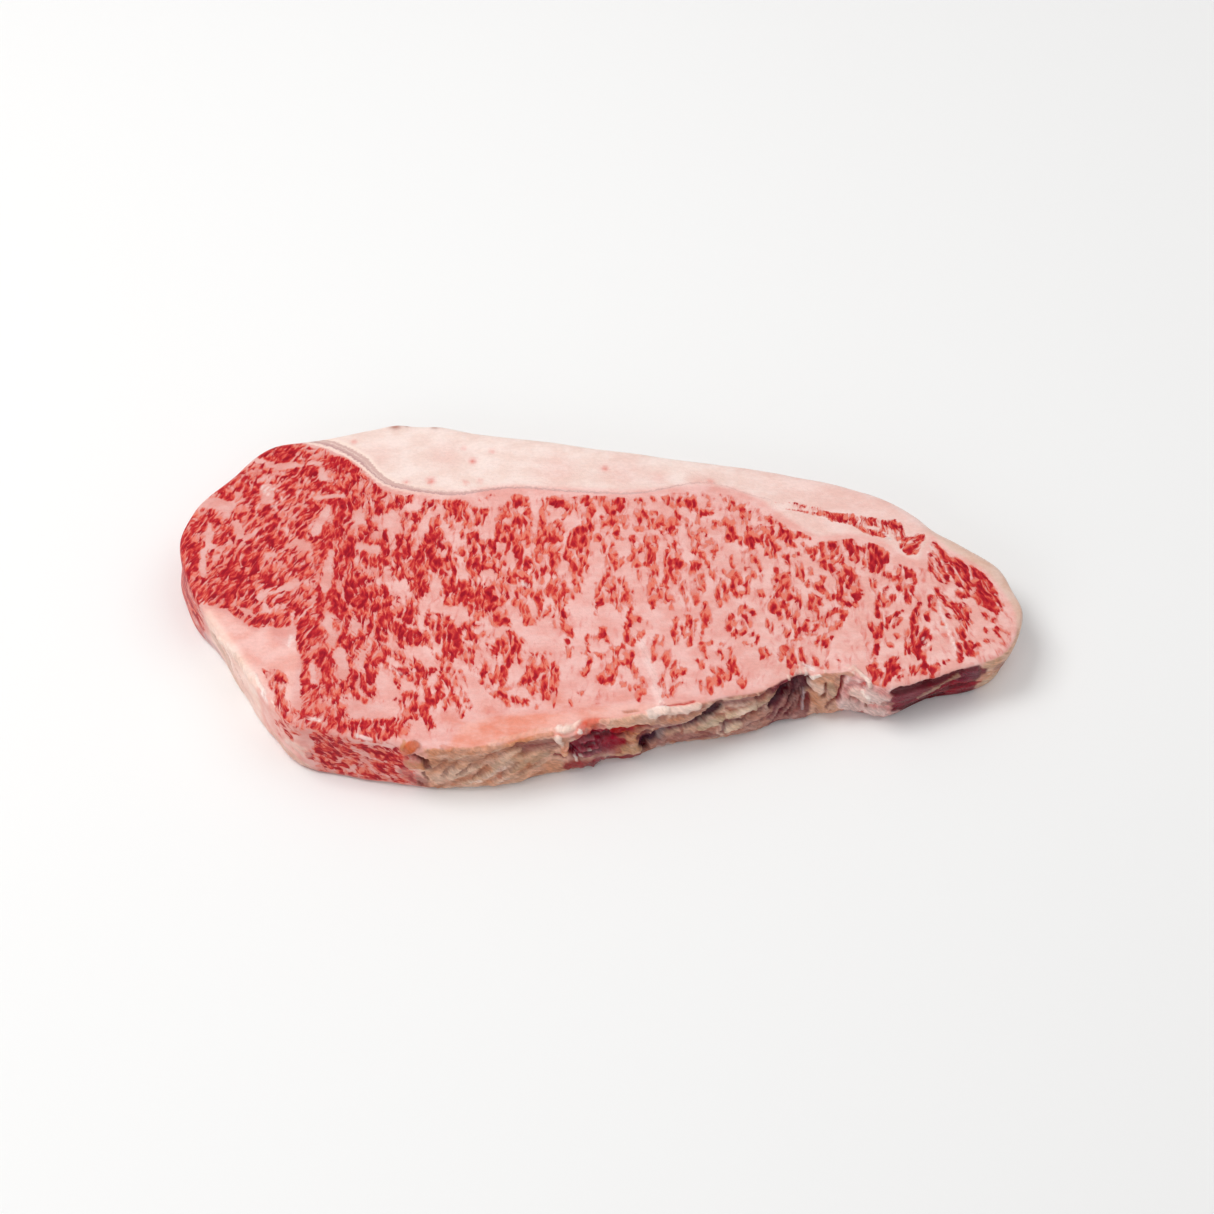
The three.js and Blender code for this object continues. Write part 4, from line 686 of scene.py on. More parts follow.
    (53.5, 0.5, 53.8, -6, 0.8, 1), (55, -3.5, 57, -6, 1.4, 0.9), (58.5, -3, 59.5, -5, 0.8, 0.7),
    (67, 1.8, 67.5, 0.5, 1.1, 0.6), (65, -1.5, 67.5, -3.5, 1.4, 0.8), (68.5, -5, 69.5, -5.5, 1.1, 0.8),
    (74, 3.5, 75, 0, 2.2, 1), (73, 0.5, 73, -3, 1.3, 0.9), (76.5, 2, 76.5, -1.5, 1, 0.8),
    (71, 2, 70.5, 0.5, 0.8, 0.6), (71.5, -5, 72.5, -8, 0.8, 0.8), (73, -8.3, 75.5, -8, 0.9, 0.8),
    (76, -7.5, 78, -4.5, 0.7, 0.7), (75.8, -4.5, 77.8, -3, 0.8, 0.6), (45, 3.5, 46.5, 1, 1.3, 0.7),
    (42, 1.5, 42.5, -2, 1.2, 0.7), (44.8, 0.5, 44.8, -4.5, 0.8, 0.9), (40.5, 2.5, 40.3, -4.5, 0.7, 0.8),
    (41.5, -6, 44, -5.5, 0.9, 0.8), (49, 1.5, 49, -1, 0.7, 0.6), (47.5, -4, 48.5, -5.5, 1.3, 0.8),
    (43.8, 9.5, 43.8, 6, 0.8, 0.7), (46.5, 8, 47.5, 6.5, 1.1, 0.8), (47.8, 5.5, 48.5, 3.5, 0.7, 0.8),
    (39.5, 8, 40.3, 3.5, 0.9, 0.7), (42.5, 15.5, 43.5, 11, 0.9, 0.6), (38, 2.5, 39.5, 1, 1, 0.6),
    # towards the tail, near the wall
    (52.5, -6.5, 52, -11.5, 1.1, 0.8), (55, -9, 55.5, -9.5, 1.2, 0.8), (59.5, -7, 59, -12, 1.2, 0.9),
    (53.5, -11, 53.5, -14, 1, 0.9), (56, -11.5, 56.2, -13.5, 0.8, 0.8), (64, -5.8, 63.5, -9.5, 1.4, 1),
    (66, -6.5, 66.5, -8, 1.2, 0.7), (64.5, -10, 64.5, -14, 1, 0.8), (69, -11.5, 70, -10.3, 0.8, 0.8),
    (70.5, -10.3, 72.8, -11, 0.8, 0.8), (73, -12, 71.5, -15.5, 0.8, 0.8), (68.5, -13, 68.5, -16, 0.8, 0.8),
    (67, -14, 67.5, -15.5, 1.3, 0.9), (69.5, -16.5, 70, -15.5, 1.5, 1), (67, -19, 65.5, -21, 0.9, 0.8),
    (68.7, -20.5, 67.5, -22.5, 0.8, 0.9), (65, -22.5, 66.5, -23, 1, 0.9),
    (61.5, -14.5, 61.3, -19.5, 0.9, 0.8), (64.5, -16, 63.5, -19.5, 0.7, 0.8),
    (50, -15, 51.3, -19.5, 0.8, 0.7), (54.5, -17, 56, -20, 0.9, 0.8), (59.5, -18, 59, -21, 1, 0.8),
    (58.3, -13, 58, -17, 0.7, 0.8), (56.3, -22, 56.5, -25, 0.9, 0.9), (47.5, -26, 48, -29, 0.7, 0.8),
    (49, -25.5, 50, -28, 0.7, 0.8), (54, -25, 53.5, -29, 1, 0.8), (56.3, -26, 56, -30.5, 1.3, 0.9),
    (57.5, -28.5, 57, -34, 0.8, 0.8), (59.5, -25, 60, -28.5, 0.9, 0.8), (61, -28, 60.8, -33, 0.8, 0.8),
    (64, -28.5, 64, -29.5, 1.2, 0.7), (66.3, -29, 66.3, -31, 0.9, 0.6), (70.5, -29, 70.3, -32, 0.6, 0.6),
    (44, -10.5, 46, -12.5, 1, 0.7), (42.5, -11, 39.5, -15, 1.2, 0.9), (43.5, -14, 43, -17, 1, 0.8),
    (45, -14.5, 44.5, -17.5, 1.2, 0.9), (40.5, -15.5, 38.5, -19, 0.8, 0.8), (42, -19.5, 40, -20.5, 0.9, 0.9),
    (41.5, -21.5, 43.5, -19.5, 0.8, 0.8), (43, -23.5, 45.5, -24.5, 0.8, 0.8),
    (47.3, -22.5, 46, -24.3, 0.8, 0.8), (44.5, -20.5, 47, -21, 0.8, 0.7), (86.5, -2, 84, -5, 0.9, 0.7),
    (88, -5, 85.5, -8, 1, 0.7), (84, -6, 82.8, -12, 1.3, 0.8), (81, -15, 81.5, -19.5, 0.9, 0.8),
    (83.5, -15, 82.5, -19.5, 0.8, 0.8), (90.5, -10, 86, -13, 0.7, 0.7), (86, -13, 85, -16, 0.7, 0.7),
    (89, -13, 87.5, -16, 0.8, 0.6), (87.5, -19.5, 86, -22.5, 1.1, 0.7), (82, -23.5, 80.5, -28, 0.8, 0.7),
    (87, -27.5, 84.5, -30, 0.9, 0.8), (82.5, -28.5, 79.5, -31, 0.9, 0.8), (86.5, -30, 84, -35, 1.4, 0.9),
    (81, -33.5, 82, -36.5, 1.8, 1), (88, -34, 87, -35.5, 0.8, 0.8), (79, -31, 79.5, -33.5, 0.9, 0.8),
    # the tail
    (90, 5.5, 92.5, 4, 1.6, 0.8), (91, 3, 90.3, -1.5, 1.3, 0.9), (94, 5, 94.3, 0.5, 0.9, 0.7),
    (92, -1, 93, -2, 1.3, 0.8), (91.8, -4.5, 91.5, -6.5, 1.4, 0.8), (86.5, 3, 87.5, 1.5, 1.2, 0.7),
    (82, 1, 82, -1, 0.9, 0.6), (95.5, -7.5, 94.8, -9, 0.8, 0.7), (94, -10, 93, -14, 1, 0.9),
    (92.5, -15, 91.5, -18.5, 1, 0.9), (93.8, -16.5, 94, -19, 0.8, 0.8), (92, -20.5, 91.5, -23, 1.6, 0.9),
    (95, -20, 94, -25, 1.8, 1), (90.3, -24.5, 90.5, -25.5, 0.8, 0.7), (96.5, -23, 97, -24, 0.8, 0.8),
    (99, -5, 98.8, -9.5, 1.1, 0.9), (98, -11, 97.3, -13.5, 1, 0.9), (96.5, -17, 97, -21, 0.8, 0.7),
    (101, -2, 101.8, -3.5, 1, 0.8), (92, -31, 91.5, -33, 1.2, 0.9), (95, -31, 96.5, -33, 1.6, 0.9),
    (99, -30, 97.5, -31.5, 1, 0.8), (101, -29, 102, -28.5, 0.8, 0.8), (88, -31.5, 85, -34, 1, 0.8),
    (99.5, 11, 99.3, 5.5, 0.9, 1), (101.5, 9, 102.5, 5, 1.1, 0.9), (103.5, 9.5, 105, 8.5, 1, 0.8),
    (101, 14.5, 103, 10.5, 1, 0.8), (101, 4, 102, 1.5, 0.9, 0.8), (104, 3, 104.5, 0.5, 0.8, 0.7),
    (104.5, 7, 107, 3.5, 1.4, 0.9), (107, 8, 109, 6, 1.4, 0.8), (106, 4, 108, 1.5, 1, 0.8),
    (110.5, 5.5, 112, 0.5, 1.8, 1), (113, 2.5, 115, -1, 1.8, 1), (108, 0, 107.5, -4, 1.2, 0.9),
    (109, -1, 109.5, -4.5, 0.9, 0.8), (113, -3.5, 114.5, -7, 1.6, 1), (116.5, -1.5, 117.5, -5, 1.3, 0.9),
    (116.5, -7, 118.5, -8.5, 1.5, 0.9), (114, -11.5, 114.3, -12.5, 0.9, 0.9),
    (118, -11.5, 116.8, -14, 0.9, 0.8), (113.8, -17, 114, -17.5, 0.9, 0.8),
    (117, -16.5, 117.5, -19, 0.9, 0.7), (114, -21, 115.5, -21, 0.9, 0.7), (105.5, -8, 108.5, -8, 1.4, 0.9),
    (106.5, -10, 107, -13, 1.2, 1), (109.3, -9.5, 109.5, -14, 1.2, 0.9), (103.5, -12, 105, -12.5, 1, 0.7),
    (106.8, -16, 107, -20, 1, 0.9), (106, -22.5, 106, -28, 0.9, 0.8), (108.5, -22.5, 109.5, -25.5, 1.3, 0.8),
    (111.5, -22.5, 111, -25, 0.8, 0.7), (102.7, -5, 103.5, -8, 0.8, 0.7), (101, -13, 101.5, -15, 0.7, 0.6),
    (110.5, 4, 113.5, 0.5, 2.8, 0.9), (115.5, -1, 117.5, -8, 2.4, 0.9), (107, 8, 109, 4, 2, 0.7),
    (101, 14, 105.5, 8.5, 1.5, 0.7), (113, 5, 116, 3, 1.4, 0.8), (107.5, -9, 108, -14, 2, 0.6),
    (93.5, -22, 94, -26, 2, 0.6), (105.5, 4, 104.5, 0, 0.8, -0.6), (110.5, -7, 112.5, -18, 1.8, -0.9),
    # the strip over it, and the muscle in the corner between them
    (54, 30, 60, 29.6, 0.6, 0.5), (57, 27, 64, 25.8, 0.6, 0.9), (60, 28.4, 68, 27.6, 1.2, 0.35),
    (64, 25.4, 69, 24.8, 0.9, 0.8), (67, 26.2, 68.8, 25.5, 0.9, 0.6), (70.5, 23.4, 74, 22.8, 1.1, 0.9),
    (71, 25.2, 78, 24, 0.9, 0.5), (75, 25.8, 81, 25, 0.6, 0.5), (75, 22.5, 80, 22.2, 1.4, 0.8),
    (78.5, 20.6, 82, 19, 1.2, 0.8), (80, 23.5, 84, 22.6, 1.5, 0.7), (83, 18, 86.5, 18.3, 1.3, 0.9),
    (84.5, 22, 91, 22.3, 1.6, 0.9), (90.3, 22, 92.3, 17.5, 1.5, 0.8), (90, 16.4, 92.5, 16.4, 0.8, 0.7),
    (82, 20.2, 85.3, 20.6, 0.7, -1), (85.8, 19.2, 88.6, 16.2, 0.7, -1.3), (69, 27, 75, 26, 0.5, -0.6),
    (91.3, 13.6, 96.5, 11.4, 1.9, 0.7), (92.8, 16.6, 98.8, 19, 1.1, 0.6), (96, 16.5, 97, 12, 1.3, 0.5),
    (94.8, 17.2, 91.3, 15, 0.5, -0.5),
]
# The lower left wall's clumps by their height on it: x0, up0, x1, up1, half-width, strength.
WALL_CLUMPS = [
    (-96, 17, -92, 13.5, 1.4, 0.7), (-95, 11, -92, 8, 1, 0.6), (-90, 15, -87, 12, 1.3, 0.8),
    (-88, 18, -85.5, 15, 1.2, 0.7), (-83, 8.8, -82.5, 6.8, 1, 0.8), (-80.5, 16, -79, 12, 1.6, 1),
    (-78, 13.5, -74, 7, 2.6, 1), (-76.5, 16, -73, 14, 1.5, 0.9), (-72.5, 14.5, -70.5, 8, 1.8, 1),
    (-79, 9, -77, 5, 1.6, 0.9), (-74.5, 4.5, -74, 2, 1.1, 0.9), (-69.5, 9, -67, 5, 1.5, 0.9),
    (-66.5, 4.2, -62, 2.5, 2, 0.9), (-68, 15.5, -61, 11.8, 1, 0.9), (-64, 9.5, -61, 7, 1.7, 0.9),
    (-61, 15, -56, 12, 2.2, 1), (-59.5, 8, -57, 3, 1.6, 0.9), (-70, 2, -66, 1, 0.9, 0.8),
    (-55, 10, -52.5, 4, 1.3, 0.8), (-56, 16, -54, 13.5, 1, 0.6), (-70, 17.5, -58, 16.4, 0.7, -1.2),
    (-92, 5, -84, 3, 2.4, -0.8), (-86, 12, -83, 9.5, 1.4, -0.9), (-69, 12, -63, 10.2, 0.5, -0.9),
]
# Fine pale lines in the cut face: torn sheets between the muscles, and short pale marks; the one at x 95 to
# 97 is a painted glint.
PALE_LINES = [
    ([(100.4, -5), (101.4, -10), (102.4, -15), (103.8, -20.8), (105.6, -25.2)], 0.35, 0.6),
    ([(100, 14), (101.4, 11.5), (103, 9), (104.2, 5)], 0.3, 0.7),
    ([(98.6, 12.4), (100.2, 8), (101.2, 3)], 0.25, 0.5), ([(95.4, -20), (97, -23.2)], 0.3, 0.8),
    ([(13, -22.9), (14.5, -28.3), (16.1, -34.3), (17.5, -40.7), (18.6, -46)], 1.1, 0.3),
    ([(-99.2, 32), (-101.5, 35.2), (-96.9, 33.5), (-94.7, 32.6), (-95.1, 29.4), (-97.6, 26.8)], 0.3, 0.8),
    ([(-22, -2), (-20.5, -3)], 0.5, 0.8), ([(-60, -32.5), (-56, -35)], 0.4, 0.7),
    ([(86.2, 18.8), (88, 16.4)], 0.5, 0.8), ([(-96.3, -41), (-94.8, -44)], 0.5, 0.8),
    ([(-82, -50.4), (-79, -51)], 0.5, 0.8), ([(-68, -56), (-64, -57.4)], 0.5, 0.8),
    ([(-89.6, -24.6), (-88.6, -21.4)], 0.5, 0.6), ([(-46.5, 14.8), (-45.4, 13)], 0.35, 0.7),
    ([(60.5, -30.5), (63, -32)], 0.6, 0.8),
]

eye_depth = depth_inside(EYE_MM)
strip_depth = depth_inside(TAIL_STRIP_MM)
corner_depth = depth_inside(TAIL_CORNER_MUSCLE_MM)
lower_left_depth = depth_inside(LOWER_LEFT_MUSCLE_MM)
wedge_depth = depth_inside(WEDGE_MM)
seam_distance, seam_at = distance_to_line(CAP_SEAM_MM)

# How much lean the bundles start from: most in the head's lobe, least in the middle.
eye_share = np.interp(
    x, [-120, -90, -68, -58, 0, 50, 118], [0.15, 0.08, -0.08, -0.72, -0.88, -0.84, -0.62]
)
wall_share = np.interp(
    x, [-117, -114, -100, -92, -84, -79, -52, -48], [0.3, -1.6, -1.6, -0.7, -0.8, -0.35, -0.35, -1.2]
)
clump_edge = lumps(place / 2.4, 51) + 0.8 * lumps(place / 1.2, 52)


def clumped(near, strength, gain):
    """What a clump adds at this many half-widths from its line: lean ends more quickly than fat."""
    near = near + 0.3 * clump_edge
    return gain * strength * soft_step(1.5 - near, 0, 0.9 if strength > 0 else 1.3)


clumps = np.zeros(len(x))
lean_gain = 1.5 + 0.25 * soft_step(x, 20, 90)
fat_gain = np.interp(x, [-80, -50], [1.8, 1.2])
for x0, y0, x1, y1, half_width, strength in CLUMPS:
    near = distance_to_line([(x0, y0), (x1, y1)])[0] / (half_width if strength > 0 else 0.8 * half_width)
    clumps += clumped(near, strength, lean_gain if strength > 0 else fat_gain)
wall_clumps = np.zeros(len(x))
for x0, up0, x1, up1, half_width, strength in WALL_CLUMPS:
    wall_clumps += clumped(wall_distance(x0, up0, x1, up1) / half_width, strength, 1.3)
on_wall = front * soft_step(18.5 - up, 0, 2.5) * soft_step(-48 - x, 0, 4)
eye_share = np.clip(eye_share + clumps, -1.5, 0.45) * (1 - on_wall)
eye_share += np.clip(wall_share + wall_clumps, -1.5, 0.5) * on_wall

# Each outline's own share of lean, and pure fat outside all of them.
muscles = [
    (eye_depth, eye_share),
    (strip_depth, np.clip(np.interp(x, [56, 70, 85], [-1.1, -0.8, -0.5]) + clumps, -1.5, 0.35)),
    (corner_depth, np.clip(clumps - 0.15, -0.6, 0.45)),
    (lower_left_depth, np.where(on_wall > 0.5, eye_share, np.clip(0.6 * clumps - 0.1, -0.6, 0.15))),
]
lean = x * 0 - 5
ragged_depth = 0.9 * lumps(place / 3.2, 54) + 0.5 * lumps(place / 1.4, 55)
for depth, share in muscles:
    lean = np.maximum(lean, share - 4 * (1 - soft_step(depth + ragged_depth, -1.5, 1.2)))
in_strip = soft_step(np.maximum(strip_depth, corner_depth), -1.5, 0.5)
in_lobe = soft_step(-x, 72, 88) * (1 - soft_step(lower_left_depth, -1.5, 0.5))
in_lobe += soft_step(corner_depth, -1.5, 0.5)
in_tail = soft_step(x, 97, 100) * (1 - soft_step(corner_depth, -1.5, 0.5))
fineness_share = np.maximum(0.5 * soft_step(-x, 30, 62), 0.75 * in_strip)

silver_width = np.interp(seam_at, range(len(CAP_SEAM_MM)), SILVERSKIN_HALF_WIDTH_MM)
seam_y = np.interp(x, *zip(*CAP_SEAM_MM))
seam_side = np.where((y > seam_y) | (x > 53), 1, -1)

# Back fat is cream. It starts at the silverskin, and thins to a rim round the tail.
back_line = np.interp(x, [-96, -60, 98, 110, 122], [48, 20, 8, -10, -26])
cream = soft_step(-eye_depth, 0.3, 3.2) * soft_step(y - back_line, -3, 5)


def store(name, values, kind="FLOAT"):
    layer = flesh.attributes.new(name, kind, "POINT")
    if kind == "FLOAT":
        layer.data.foreach_set("value", np.asarray(values, np.float32))
    else:
        layer.data.foreach_set("vector", np.asarray(values, np.float32).ravel())


def linear(value):
    """Linear light from a paint chart's 0 to 255."""
    value = np.asarray(value, float) / 255
    return np.where(value <= 0.04045, value / 12.92, ((value + 0.055) / 1.055) ** 2.4)


# The fat's tints, laid over each other in this order; some of them are painted shade or painted glints, as
# said where they are laid. Where the wall has dried or is torn, they hide the marbling too.
MARBLING_FAT = (236, 180, 173)
CAP_FAT, CAP_FAT_ROSY, CAP_FAT_SHADE = (243, 219, 211), (241, 203, 195), (212, 190, 180)
BLUSH = (226, 122, 112)
BEAD = (168, 96, 78)
WEDGE_FAT, WEDGE_PALE, WEDGE_BRUISE_AND_SHADE = (238, 182, 173), (249, 214, 202), (214, 164, 156)
PEACH, FLAP_FAT, FLUSH = (237, 164, 148), (238, 176, 164), (226, 130, 108)
TAIL_RIM, TAIL_RIM_SHADE = (226, 190, 174), (188, 154, 140)
TAN, TAN_LIGHT, TAN_DARK = (220, 166, 142), (238, 194, 168), (180, 124, 104)
VEIN_BROWN, VEIN_PALE, VEIN_DARK = (186, 126, 110), (228, 188, 168), (122, 54, 62)
RECESS_WINE_AND_SHADE, RECESS_PALE = (122, 52, 60), (166, 106, 98)
LUMP_TAN, LUMP_PINK, LUMP_WHITE = (222, 168, 144), (226, 164, 160), (248, 220, 214)
UNDERCUT_PURPLE_AND_SHADE, UNDER_OLIVE = (112, 24, 38), (150, 102, 88)
CORNER_BEIGE = (222, 178, 154)
PALE_LINE = (252, 230, 226)
HEAD_FAT, TAIL_FAT = (228, 168, 161), (238, 184, 176)
tint = np.tile(linear(MARBLING_FAT), (len(x), 1))
hidden = np.zeros(len(x))


def paint(shade, mask, hide=0.0):
    mask = np.clip(mask, 0, 1)
    tint[:] += (linear(shade) - tint) * mask[:, None]
    hidden[:] = np.maximum(hidden, mask * hide)


def patches(points, seed, low, high):
    return soft_step(lumps(points, seed), low, high)


def along(line, half_width):
    return bell(distance_to_line(line)[0] / half_width)


paint(HEAD_FAT, soft_step(-58 - x, 0, 10))
paint(TAIL_FAT, soft_step(x, 30, 60))
outside = soft_step(-eye_depth, -0.5, 1.5)
over_tan_face = soft_step(x, -62, -40) * (1 - soft_step(x, -12, 0))
paint(PEACH, outside * soft_step(-30 - y, 0, 6) * over_tan_face)
paint(FLAP_FAT, outside * soft_step(-30 - y, 0, 4) * soft_step(x, -12, 0))
for x0, y0, x1, y1, half_width, share in [
    (-33, -45, -29, -51, 3, 0.35), (-12, -44, -3, -46, 3, 0.4), (-44, -50, -40, -52, 2, 0.35),
    (1, -43, 8, -44, 2, 0.25),
]:
    paint(FLUSH, bell(distance_to_line([(x0, y0), (x1, y1)])[0] / half_width) * share)
paint(WEDGE_FAT, soft_step(wedge_depth, -0.5, 1.5))
paint(WEDGE_PALE, along([(-114, -13), (-108, -22), (-103, -30), (-98, -38)], 1.8))
# On the wedge's wall: greyer patches, partly bruising and partly painted shade.
bruise_and_shade = along([(-118, -16), (-112, -24), (-105, -33)], 2.6) * patches(place / 2.2, 41, -0.4, 0.6)
paint(WEDGE_BRUISE_AND_SHADE, bruise_and_shade * wall)
paint(CAP_FAT, cream)
paint(CAP_FAT_ROSY, cream * soft_step(x, 20, 80))
# Where the back of the cap turns down from the top, a painted grey shade.
paint(CAP_FAT_SHADE, cream * soft_step(0.75 - normal[:, 2], 0, 0.5) * soft_step(y, 0, 20) * 0.8)
for x0, y0, size, share in [
    (-37.7, 45.1, 1.1, 0.9), (-50.2, 37.1, 1.2, 0.9), (-57.7, 36.2, 1, 0.7), (-39.6, 36.4, 0.8, 0.6),
    (-35.3, 37.1, 0.8, 0.5), (-74.3, 53, 0.9, 0.5), (-40.6, 50.5, 0.8, 0.5), (-32, 49.2, 0.9, 0.5),
    (2.5, 42.3, 1, 0.8), (34.5, 37.5, 1.2, 0.5), (-12, 41, 6, 0.2), (8, 40, 7, 0.2), (-66, 47, 5, 0.12),
    (-46, 47, 5, 0.14), (19, 38, 3, 0.25), (31, 36, 4, 0.25),
]:
    paint(BLUSH, bell(np.hypot(x - x0, y - y0) / size) * share * soft_step(cream, 0.3, 0.8))
for x0, y0, size in [(-62, 60, 1.6), (-50, 60, 1.2), (-58.5, 60.5, 0.8)]:
    paint(BEAD, bell(np.hypot(x - x0, y - y0) / size) * soft_step(z, 13, 17) * 0.8)
rim_of_tail = soft_step(x, 96, 106) * outside * soft_step(y, -34, -20)
paint(TAIL_RIM, rim_of_tail)
# Where the tail's rim slopes away, a painted grey shade.
paint(TAIL_RIM_SHADE, rim_of_tail * soft_step(0.7 - normal[:, 2], 0, 0.5))

below_rim = soft_step(-normal[:, 1], 0.02, 0.3) * soft_step(0.95 - normal[:, 2], 0.1, 0.4)
below_rim *= soft_step(-y, 8, 16)
paint(TAN, below_rim * tan_face, 1)
paint(TAN_LIGHT, below_rim * tan_face * patches(oblique, 3, 0, 0.7) * 0.8)
paint(TAN_DARK, below_rim * tan_face * patches(oblique + 7, 21, 0.1, 0.7) * 0.7)
paint(VEIN_BROWN, below_rim * (veined + beside_pocket), 1)
paint(VEIN_PALE, below_rim * (veined + beside_pocket) * patches(crumple, 7, -0.1, 0.5) * 0.8)
low_veins = patches(place / 2.6, 22, 0.2, 0.6) * soft_step(12 - z, -2, 6)
paint(VEIN_DARK, below_rim * veined * low_veins * 0.6)
# The recess is painted dark wine: partly the flesh, partly painted shade of the hollow.
paint(RECESS_WINE_AND_SHADE, below_rim * recess, 1)
paint(RECESS_PALE, below_rim * recess * patches(folds, 9, 0, 0.6))
paint(LUMP_TAN, below_rim * tan_lump, 1)
paint(VEIN_DARK, below_rim * tan_lump * patches(place / 1.7, 24, 0.3, 0.6) * 0.4)
paint(LUMP_PINK, below_rim * pink_lumps, 1)
paint(LUMP_WHITE, below_rim * pink_lumps * patches(crumple, 10, 0, 0.6) * 0.6)
steep = soft_step(0.6 - normal[:, 2], 0, 0.4)
# The undercut is painted wine purple: partly the flesh, partly painted shade under the overhanging rim.
paint(UNDERCUT_PURPLE_AND_SHADE, below_rim * undercut * soft_step(0.8 - normal[:, 2], 0.1, 0.5), 1)
paint(UNDER_OLIVE, below_rim * undercut * patches(level, 12, 0.3, 0.8) * steep * 0.4)
paint(CORNER_BEIGE, below_rim * tip, 1)
for mark, mask in zip(WALL_MARKS, mark_masks):
    paint(mark[6], mask * mark[7], mark[7])
for line, half_width, share in PALE_LINES:
    ragged = distance_to_line(line)[0] + 0.15 * lumps(place / 0.9, 53)
    paint(PALE_LINE, soft_step(1.6 - ragged / half_width, 0, 0.9) * share * (1 - on_wall), 1)
wet = below_rim * (pocket + 0.5 * (pink_lumps + recess) + 0.4 * (veined + undercut)) + 0.5 * rim_of_tail

store("lean", lean)
store("lobe", in_lobe)
store("tail", in_tail)
store("fine", fineness_share)
store("seam", seam_side * seam_distance)
store("silver", silver_width)
store("wall", wall)
store("wet", np.clip(wet, 0, 1))
store("hidden", hidden)
store("round", np.stack([rim_at, z, x], axis=1), "FLOAT_VECTOR")
tint_layer = flesh.attributes.new("tint", "FLOAT_COLOR", "POINT")
tint_with_alpha = np.hstack([tint, np.ones((len(x), 1))])
tint_layer.data.foreach_set("color", tint_with_alpha.astype(np.float32).ravel())

# ---------------------------------------------------------------------------------------------
# The slice, its finish. Moist red fibre bundles show through a little clear fat at their edges,
# so they are orange there and crimson at the core. The fat is pink between them, cream in the
# cap, and tan where the wall has dried.


def add(tree, kind, inputs=None, **settings):
    node = tree.nodes.new("ShaderNode" + kind)
    for name, value in settings.items():
        setattr(node, name, value)
    for socket, value in (inputs or {}).items():
        if isinstance(value, bpy.types.NodeSocket):
            tree.links.new(value, node.inputs[socket])
        else:
            node.inputs[socket].default_value = value
    return node


def calc(tree, operation, *values, clamp=False):
    node = add(tree, "Math", dict(enumerate(values)), operation=operation, use_clamp=clamp)
    return node.outputs[0]


def ease(tree, value, low, high, to_low=0.0, to_high=1.0):
    sockets = {0: value, 1: low, 2: high, 3: to_low, 4: to_high}
    return add(tree, "MapRange", sockets, interpolation_type="SMOOTHSTEP").outputs[0]


def blend(tree, share, first, second):
    node = add(tree, "Mix", {0: share, 6: first, 7: second}, data_type="RGBA")
    return node.outputs[2]


def colour(red, green, blue):
    """A shader's colour from the 0 to 255 values of a paint chart."""
    return (*linear((red, green, blue)), 1.0)


def noise(tree, where, scale, detail=1.0, roughness=0.5, distortion=0.0, output=0):
    scaled = add(tree, "VectorMath", {0: where, 1: scale}, operation="MULTIPLY").outputs[0]
    node = add(tree, "TexNoise", {"Vector": scaled, "Scale": 1.0, "Detail": detail, "Roughness": roughness,
                                  "Distortion": distortion})
    return node.outputs[output]


def shifted(tree, value, amount, gain):
    """(value - amount) * gain"""
    return calc(tree, "MULTIPLY", calc(tree, "SUBTRACT", value, amount), gain)


marbling = bpy.data.node_groups.new("marbling", "ShaderNodeTree")
marbling.interface.new_socket("Grain", in_out="INPUT", socket_type="NodeSocketVector")
marbling.interface.new_socket("Fineness", in_out="INPUT", socket_type="NodeSocketFloat")
marbling.interface.new_socket("Amount", in_out="INPUT", socket_type="NodeSocketFloat")
marbling.interface.new_socket("Lean", in_out="OUTPUT", socket_type="NodeSocketFloat")
marbling.interface.new_socket("Slope", in_out="OUTPUT", socket_type="NodeSocketFloat")
marbling_in = marbling.nodes.new("NodeGroupInput")
grain_in = marbling_in.outputs["Grain"]
fineness = marbling_in.outputs["Fineness"]


def pushed(where, scale, detail, reach):
    """The grain moved sideways by a noise of its own, so that no bundle runs straight."""
    push = noise(marbling, grain_in, scale, detail=detail, output=1)
    push = add(marbling, "VectorMath", {0: push, 1: (0.5, 0.5, 0.5)}, operation="SUBTRACT").outputs[0]
    moved = add(marbling, "VectorMath", {0: push, 1: reach, 2: where}, operation="MULTIPLY_ADD")
    return moved.outputs[0]


grain = pushed(grain_in, (0.22, 0.14, 0.08), 2, (4.0, 4.0, 0.0))
grain = pushed(grain, (0.7, 0.4, 0.3), 1, (0.8, 0.9, 0.0))
BUNDLE_SCALE = (0.16, 0.08, 0.05)
STRAND_SCALE = (0.36, 0.135, 0.08)
SEAM_SCALE = (0.15, 0.05, 0.05)
PETAL_SCALE = (0.7, 0.24, 1.0)
FIBRE_SCALE = (1.7, 0.62, 1.0)
STREAK_SCALE = (0.9, 0.26, 0.3)
SLOPE_STEP = (0.0, 1.0, 0.0)


def ridges(where, scale, half_width, on_ridge, off_ridge):
    """Branching lines, where a stretched noise crosses its middle value."""
    height = shifted(marbling, noise(marbling, where, scale, detail=1), 0.5, 1.0)
    height = calc(marbling, "ABSOLUTE", height)
    return ease(marbling, height, 0.0, half_width, on_ridge, off_ridge)


def total_of(*parts):
    total = parts[0]
    for part in parts[1:]:
        total = calc(marbling, "ADD", total, part)
    return total


